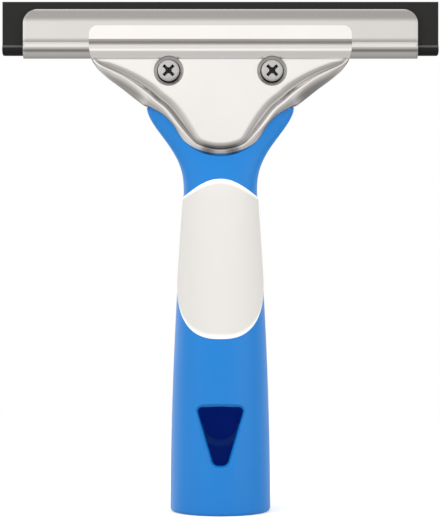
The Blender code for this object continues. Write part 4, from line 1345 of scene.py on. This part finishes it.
def half_width(sizes, level):
    """Half width of the handle at a level, flaring above the neck into the wings."""
    neck = sizes.neck_width / 2
    if level <= sizes.neck_level:
        return barrel_half(sizes, level, neck)
    flare = smoothstep(wing_share(sizes, level) ** FLARE_POWER)
    return neck + (sizes.wing_span / 2 - neck) * flare


def half_depth(sizes, level):
    """Half depth of the handle at a level, thinning above the neck towards the jaws."""
    neck = sizes.neck_depth / 2
    if level <= sizes.neck_level:
        return barrel_half(sizes, level, neck)
    thick = 1 - min(wing_share(sizes, level), 1.0) ** THINNING_POWER
    return neck + (sizes.wing_depth / 2 - neck) * (1 - thick**THINNING_STEEPNESS)


def section_power(sizes, level):
    """Exponent of the handle's section: 2 is an ellipse, and more is squarer."""
    barrel = BARREL_SQUARENESS * smoothstep(level / sizes.neck_level)
    return 2.0 + barrel + WING_SQUARENESS * smoothstep(wing_share(sizes, level))


def skin_point(sizes, level, angle, inset=0.0):
    """A point of the handle's skin at a level and an angle round it, drawn in by inset."""
    power = 2 / section_power(sizes, level)
    c = math.cos(angle)
    s = math.sin(angle)
    x = math.copysign(abs(c) ** power, c) * (half_width(sizes, level) - inset)
    y = math.copysign(abs(s) ** power, s) * (half_depth(sizes, level) - inset)
    return Vector((x, y, level))


def once_round(count):
    return [2 * math.pi * i / count for i in range(count)]


def skin_ring(sizes, level, inset=0.0):
    return [skin_point(sizes, level, turn, inset) for turn in once_round(HANDLE_SIDES)]


def handle_rings(sizes, layout):
    """Rings of the handle from the wings' tips down to the rim and up inside the pole socket."""
    rings = []
    for turn in steps(0, math.pi / 2, 4):
        level = layout.wing_top - TIP_ROUND * (1 - math.cos(turn))
        rings.append(skin_ring(sizes, level, TIP_ROUND * (1 - math.sin(turn))))
    for level in steps(layout.wing_top - TIP_ROUND, sizes.neck_level, WING_RINGS)[1:]:
        rings.append(skin_ring(sizes, level))
    for level in steps(sizes.neck_level, RIM_ROUND, BARREL_RINGS)[1:]:
        rings.append(skin_ring(sizes, level))
    for turn in steps(math.pi / 2, 0, 6)[1:]:
        ring = skin_ring(sizes, 0.0, RIM_ROUND * (1 - math.sin(turn)))
        rings.append([Vector((point.x, point.y, RIM_ROUND * (1 - math.cos(turn)))) for point in ring])
    inside = [(layout.socket_radius + MOUTH_CHAMFER, 0.0), (layout.socket_radius, MOUTH_CHAMFER)]
    inside += [(layout.socket_radius, SOCKET_STRAIGHT / 2), (layout.socket_radius, SOCKET_STRAIGHT)]
    for radius, height in [*inside, (SOCKET_END_RADIUS, SOCKET_DEPTH)]:
        turns = once_round(HANDLE_SIDES)
        rings.append([Vector((radius * math.cos(turn), radius * math.sin(turn), height)) for turn in turns])
    return rings


def edge_outline(sizes, layout, grow):
    """The jaws' free edge seen from the front, grown outward, closed above the wings."""
    left = []
    for point, outward, _groove, edge, _station in ridge_samples(sizes, layout):
        left.append((point + outward * (edge + grow)).to_tuple())
    left[-1] = (0.0, left[-1][1])
    return left + [(-x, z) for x, z in reversed(left[:-1])]


def field_outline(sizes, layout):
    """The flat field of the jaws, which the handle's tongue fills."""
    top_half = sizes.jaw_width / 2 - TONGUE_INSET
    left = [(-top_half, layout.tongue_top)]
    for sample in ridge_samples(sizes, layout):
        place = pan_row(sizes, layout, sample)[0]
        if place.z < layout.tongue_top - GAP and abs(place.x) < top_half:
            left.append((place.x, place.z))
    return left + [(-x, z) for x, z in reversed(left) if x < 0]


def rounded_corner(corner, before, after, radius):
    """Points of the arc that rounds a corner between two straight sides."""
    corner = Vector(corner)
    to_before = (Vector(before) - corner).normalized()
    to_after = (Vector(after) - corner).normalized()
    half_angle = to_before.angle(to_after) / 2
    centre = corner + (to_before + to_after).normalized() * radius / math.sin(half_angle)
    first = corner + to_before * radius / math.tan(half_angle) - centre
    last = corner + to_after * radius / math.tan(half_angle) - centre
    shares = steps(0, 1, WINDOW_CORNER_STEPS)
    return [centre + first.slerp(last, share).normalized() * radius for share in shares]


def window_outline(sizes, grow):
    """The latch window: a triangle with its point down and all corners rounded, grown all round."""
    top = sizes.window_top + grow
    foot = sizes.window_top - sizes.window_height - grow
    half_top = sizes.window_width / 2 + grow
    half_foot = WINDOW_FOOT_WIDTH / 2 + grow
    corners = [
        ((-half_top, top), WINDOW_TOP_ROUND + grow),
        ((-half_foot, foot), WINDOW_FOOT_ROUND + grow / 2),
        ((half_foot, foot), WINDOW_FOOT_ROUND + grow / 2),
        ((half_top, top), WINDOW_TOP_ROUND + grow),
    ]
    points = []
    for i, (corner, radius) in enumerate(corners):
        points += rounded_corner(corner, corners[i - 1][0], corners[(i + 1) % 4][0], radius)
    return points


def window_tool(sizes):
    """Cuts the latch window, with an even rounded edge that follows the handle's curve."""
    bevel = sizes.window_bevel
    stages = [(-WINDOW_OVERCUT, bevel)]
    for turn in steps(WINDOW_EDGE_START, math.pi / 2, 6):
        stages.append((WINDOW_EDGE_DEPTH * bevel * (1 - math.cos(turn)), bevel * (1 - math.sin(turn))))
    stages.append((SOCKET_WALL + OVERCUT, 0.0))
    rings = []
    for sunk, grow in stages:
        ring = []
        for x, z in window_outline(sizes, grow):
            power = section_power(sizes, z)
            share = 1 - abs(x / half_width(sizes, z)) ** power
            ring.append(Vector((x, sunk - half_depth(sizes, z) * share ** (1 / power), z)))
        rings.append(ring)
    return lofted(rings)


class SQUEEGEE_OT_handle(bpy.types.Operator):
    """Build the moulded handle"""

    bl_idname = "squeegee.handle"
    bl_label = "Handle"

    def execute(self, context):
        sizes, layout = sizes_and_layout(context)
        obj = as_object(lofted(handle_rings(sizes, layout)), "handle_moulding")
        cut(obj, slab(field_outline(sizes, layout), -layout.tongue_half, layout.tongue_half), "UNION")
        outline = edge_outline(sizes, layout, POCKET_ROOM)
        for side in (-1, 1):
            cut(obj, slab(outline, side * layout.tongue_half, side * layout.rim_radius))
        cut(obj, window_tool(sizes))
        start = layout.socket_radius + LATCH_DIMPLE_DEPTH
        place = Matrix.Translation((0, start, LATCH_DIMPLE_LEVEL)) @ Matrix.Rotation(-math.pi / 2, 4, "X")
        cut(obj, placed(plug(LATCH_DIMPLE_RADIUS, -OVERCUT, 0), place))
        for _hand, x in layout.screw_places:
            cut(obj, placed(screw_bore(TONGUE_BORE_REACH), screw_axis(layout, 1, x, 0)))
        look = moulded_plastic(context.scene.squeegee_colours.plastic, sizes, layout)
        hand_over(obj, "handle", look, ["handle_body"], sharp=30)
        return {"FINISHED"}


def grip_edges(sizes, angle):
    """Lower and upper level of the grip at an angle round the handle."""
    share = abs(math.cos(angle))
    low_half = half_width(sizes, sizes.grip_low)
    low = sizes.grip_low
    for _ in range(GRIP_FIT_ROUNDS):
        x = share ** (2 / section_power(sizes, low)) * half_width(sizes, low)
        drop = (1 - min(x / low_half, 1.0) ** GRIP_FOOT_POWER) ** (1 / GRIP_FOOT_POWER)
        low += GRIP_FIT_SHARE * (sizes.grip_low - sizes.foot_drop * drop - low)
    reach = min(share ** (2 / section_power(sizes, sizes.grip_high)), 1.0)
    return low, sizes.grip_high + sizes.crown_rise * math.cos(math.pi / 2 * reach)


def grip_rings(sizes, edge):
    """Rings of the grip's outside from its foot up to its crown, with both edges turned in."""
    angles = once_round(GRIP_SIDES)
    bounds = [grip_edges(sizes, angle) for angle in angles]
    rings = []
    for back, inset in edge:
        rings.append([skin_point(sizes, low + back, a, inset) for a, (low, _high) in zip(angles, bounds)])
    for share in steps(0, 1, GRIP_ROWS)[1:-1]:
        ring = []
        for angle, (low, high) in zip(angles, bounds):
            level = low + GRIP_ROUND + (high - low - 2 * GRIP_ROUND) * share
            ring.append(skin_point(sizes, level, angle, -GRIP_PROUD))
        rings.append(ring)
    for back, inset in reversed(edge):
        rings.append([skin_point(sizes, high - back, a, inset) for a, (_low, high) in zip(angles, bounds)])
    return rings


class SQUEEGEE_OT_grip(bpy.types.Operator):
    """Build the soft grip moulded over the handle"""

    bl_idname = "squeegee.grip"
    bl_label = "Grip"

    def execute(self, context):
        sizes, _layout = sizes_and_layout(context)
        edge = [(0.0, GRIP_THICKNESS), (0.0, GRIP_ROUND)]
        for turn in steps(0, math.pi / 2, 4)[1:]:
            edge.append((GRIP_ROUND * (1 - math.cos(turn)), GRIP_ROUND * (1 - math.sin(turn)) - GRIP_PROUD))
        rings = grip_rings(sizes, edge)
        bm, first, last = swept(rings, closed=True)
        bmesh.ops.bridge_loops(bm, edges=first + last)
        bmesh.ops.recalc_face_normals(bm, faces=bm.faces)
        obj = as_object(bm, "grip_elastomer")
        # Marks the rounded rims for their painted highlight
        rim = obj.data.attributes.new("rim", "FLOAT", "POINT")
        for i in range(len(obj.data.vertices)):
            row = i // GRIP_SIDES
            from_end = min(row, len(rings) - 1 - row)
            rim.data[i].value = 1.0 if from_end < len(edge) else 0.0
        look = soft_elastomer(context.scene.squeegee_colours.elastomer)
        hand_over(obj, "handle", look, ["grip_sleeve"], sharp=50)
        return {"FINISHED"}


# Studio


def tent_stops(heights):
    """Ramp stops from angles in degrees and brightness."""
    return [(angle / 360 + 0.5, brightness / TENT_STRENGTH) for angle, brightness in heights]


def tent_material():
    """Studio tent whose brightness changes with height, otherwise at the middle than at the sides."""
    made = bpy.data.materials.new("studio_tent_light")
    made.use_nodes = True
    tree = made.node_tree
    tree.nodes.clear()
    coords = add_node(tree, "TexCoord")
    direction = add_node(tree, "VectorMath", {0: coords.outputs["Object"]}, operation="NORMALIZE")
    split = add_node(tree, "SeparateXYZ", {0: direction.outputs[0]})
    ahead = calculated(tree, "MULTIPLY", split.outputs["Y"], -1.0)
    tilt = calculated(tree, "ARCTAN2", split.outputs["Z"], ahead)
    height = add_node(tree, "MapRange", {"Value": tilt, "From Min": -math.pi, "From Max": math.pi})
    glows = []
    for heights in (TENT_MIDDLE, TENT_SIDES):
        ramp = add_node(tree, "ValToRGB", {"Fac": height.outputs[0]})
        fill_ramp(ramp.color_ramp, tent_stops(heights))
        glows.append(ramp.outputs[0])
    aside = calculated(tree, "ABSOLUTE", split.outputs["X"])
    sideways = {"Value": aside, "From Min": 0.2, "From Max": 0.6}
    share = add_node(tree, "MapRange", sideways, interpolation_type="SMOOTHSTEP")
    both = blended(tree, share.outputs[0], *glows)
    lean = -TENT_LEFT_LEAN * TENT_STRENGTH
    leaning = calculated(tree, "MULTIPLY_ADD", split.outputs["X"], lean, TENT_STRENGTH)
    glow = add_node(tree, "Emission", {"Color": both, "Strength": leaning})
    add_node(tree, "OutputMaterial", {"Surface": glow.outputs[0]})
    return made


def area_light(name, place, size, power):
    data = bpy.data.lights.new(name, "AREA")
    data.shape = "RECTANGLE"
    data.size, data.size_y = size
    data.energy = power
    lamp = bpy.data.objects.new(name, data)
    lamp.location = place
    lamp.rotation_euler = (Vector(LAMP_AIM) - Vector(place)).to_track_quat("-Z", "Y").to_euler()
    lamp.visible_glossy = False
    bpy.context.scene.collection.objects.link(lamp)


def background_rays(tree):
    """1 for the rays that show the white background: straight, off polish or through a clear piece."""
    path = add_node(tree, "LightPath")
    sharp = calculated(tree, "MAXIMUM", path.outputs["Is Camera Ray"], path.outputs["Is Glossy Ray"])
    return calculated(tree, "MAXIMUM", sharp, path.outputs["Is Transmission Ray"])


def floor_material():
    """Pale floor that keeps the shadow near the piece and fades to plain white further off."""
    made, tree, shader, place = start_material("studio_floor_white")
    set_inputs(tree, shader, {"Base Color": (0.86, 0.86, 0.86, 1), "Roughness": 0.9})
    far = add_node(tree, "MapRange", {"Value": distance(tree, place), "From Min": 0.05, "From Max": 0.45})
    white = add_node(tree, "Emission", {"Color": (1, 1, 1, 1), "Strength": 1.0})
    lift = add_node(tree, "Emission", {"Color": (1, 1, 1, 1), "Strength": 0.35})
    near = add_node(tree, "AddShader", {0: shader.outputs[0], 1: lift.outputs[0]})
    faded = add_node(tree, "MixShader", {0: far.outputs[0], 1: near.outputs[0], 2: white.outputs[0]})
    seen = background_rays(tree)
    shown = add_node(tree, "MixShader", {0: seen, 1: shader.outputs[0], 2: faded.outputs[0]})
    tree.links.new(shown.outputs[0], tree.nodes["Material Output"].inputs["Surface"])
    return made


def light_world(scene):
    """White behind the piece, and a soft, slightly warm light from all round."""
    world = bpy.data.worlds.new("studio_world")
    scene.world = world
    world.use_nodes = True
    tree = world.node_tree
    tree.nodes.clear()
    seen = background_rays(tree)
    ambient = add_node(tree, "Background", {"Color": (1.0, 0.995, 0.985, 1), "Strength": 0.57})
    white = add_node(tree, "Background", {"Color": (1, 1, 1, 1), "Strength": 1.0})
    shown = add_node(tree, "MixShader", {0: seen, 1: ambient.outputs[0], 2: white.outputs[0]})
    add_node(tree, "OutputWorld", {"Surface": shown.outputs[0]})


class SQUEEGEE_OT_stage(bpy.types.Operator):
    """Set the floor, the tent, the lights and the camera"""

    bl_idname = "squeegee.stage"
    bl_label = "Stage"

    def execute(self, context):
        scene = context.scene
        scene.view_settings.view_transform = "Standard"
        light_world(scene)
        bm = bmesh.new()
        bmesh.ops.create_circle(bm, cap_ends=True, segments=64, radius=FLOOR_RADIUS)
        floor = as_object(bm, "studio_floor")
        floor.data.materials.append(floor_material())
        floor.visible_glossy = False
        bm = bmesh.new()
        bmesh.ops.create_uvsphere(bm, u_segments=48, v_segments=32, radius=TENT_RADIUS)
        tent = as_object(bm, "studio_tent")
        tent.location = (0, 0, TENT_LEVEL)
        tent.data.materials.append(tent_material())
        tent.visible_camera = False
        tent.visible_diffuse = False
        tent.visible_transmission = False
        tent.visible_shadow = False
        for name, place, size, power in LAMPS:
            area_light(name, place, size, power)
        data = bpy.data.cameras.new("photo_camera")
        data.sensor_fit = "VERTICAL"
        data.sensor_height = SENSOR
        data.lens = SENSOR * CAMERA_DISTANCE / (PICTURE_HEIGHT * METRES_PER_PIXEL)
        data.clip_start = 0.01
        camera = bpy.data.objects.new("photo_camera", data)
        camera.location = (CAMERA_SIDE, -CAMERA_DISTANCE, CAMERA_LEVEL)
        camera.rotation_euler = (math.pi / 2, 0, 0)
        scene.collection.objects.link(camera)
        scene.camera = camera
        return {"FINISHED"}


class SQUEEGEE_PT_pieces(bpy.types.Panel):
    """Lists the squeegee's pieces, sizes and colours"""

    bl_idname = "SQUEEGEE_PT_pieces"
    bl_label = "Window Squeegee"
    bl_space_type = "VIEW_3D"
    bl_region_type = "UI"
    bl_category = "Squeegee"

    def draw(self, context):
        for operator in OPERATORS:
            self.layout.operator(operator.bl_idname)
        for group in (context.scene.squeegee_sizes, context.scene.squeegee_colours):
            box = self.layout.box()
            for name in group.__annotations__:
                box.prop(group, name)


OPERATORS = (
    SQUEEGEE_OT_handle,
    SQUEEGEE_OT_grip,
    SQUEEGEE_OT_jaws,
    SQUEEGEE_OT_channel,
    SQUEEGEE_OT_blade,
    SQUEEGEE_OT_screws,
    SQUEEGEE_OT_nuts,
    SQUEEGEE_OT_stage,
)
CLASSES = (SqueegeeSizes, SqueegeeColours, *OPERATORS, SQUEEGEE_PT_pieces)


def register():
    for cls in CLASSES:
        bpy.utils.register_class(cls)
    bpy.types.Scene.squeegee_sizes = PointerProperty(type=SqueegeeSizes)
    bpy.types.Scene.squeegee_colours = PointerProperty(type=SqueegeeColours)


def unregister():
    del bpy.types.Scene.squeegee_colours
    del bpy.types.Scene.squeegee_sizes
    for cls in reversed(CLASSES):
        bpy.utils.unregister_class(cls)


def main():
    register()
    bpy.ops.squeegee.handle()
    bpy.ops.squeegee.grip()
    bpy.ops.squeegee.jaws()
    bpy.ops.squeegee.channel()
    bpy.ops.squeegee.blade()
    bpy.ops.squeegee.screws()
    bpy.ops.squeegee.nuts()
    bpy.ops.squeegee.stage()


if __name__ == "__main__":
    main()
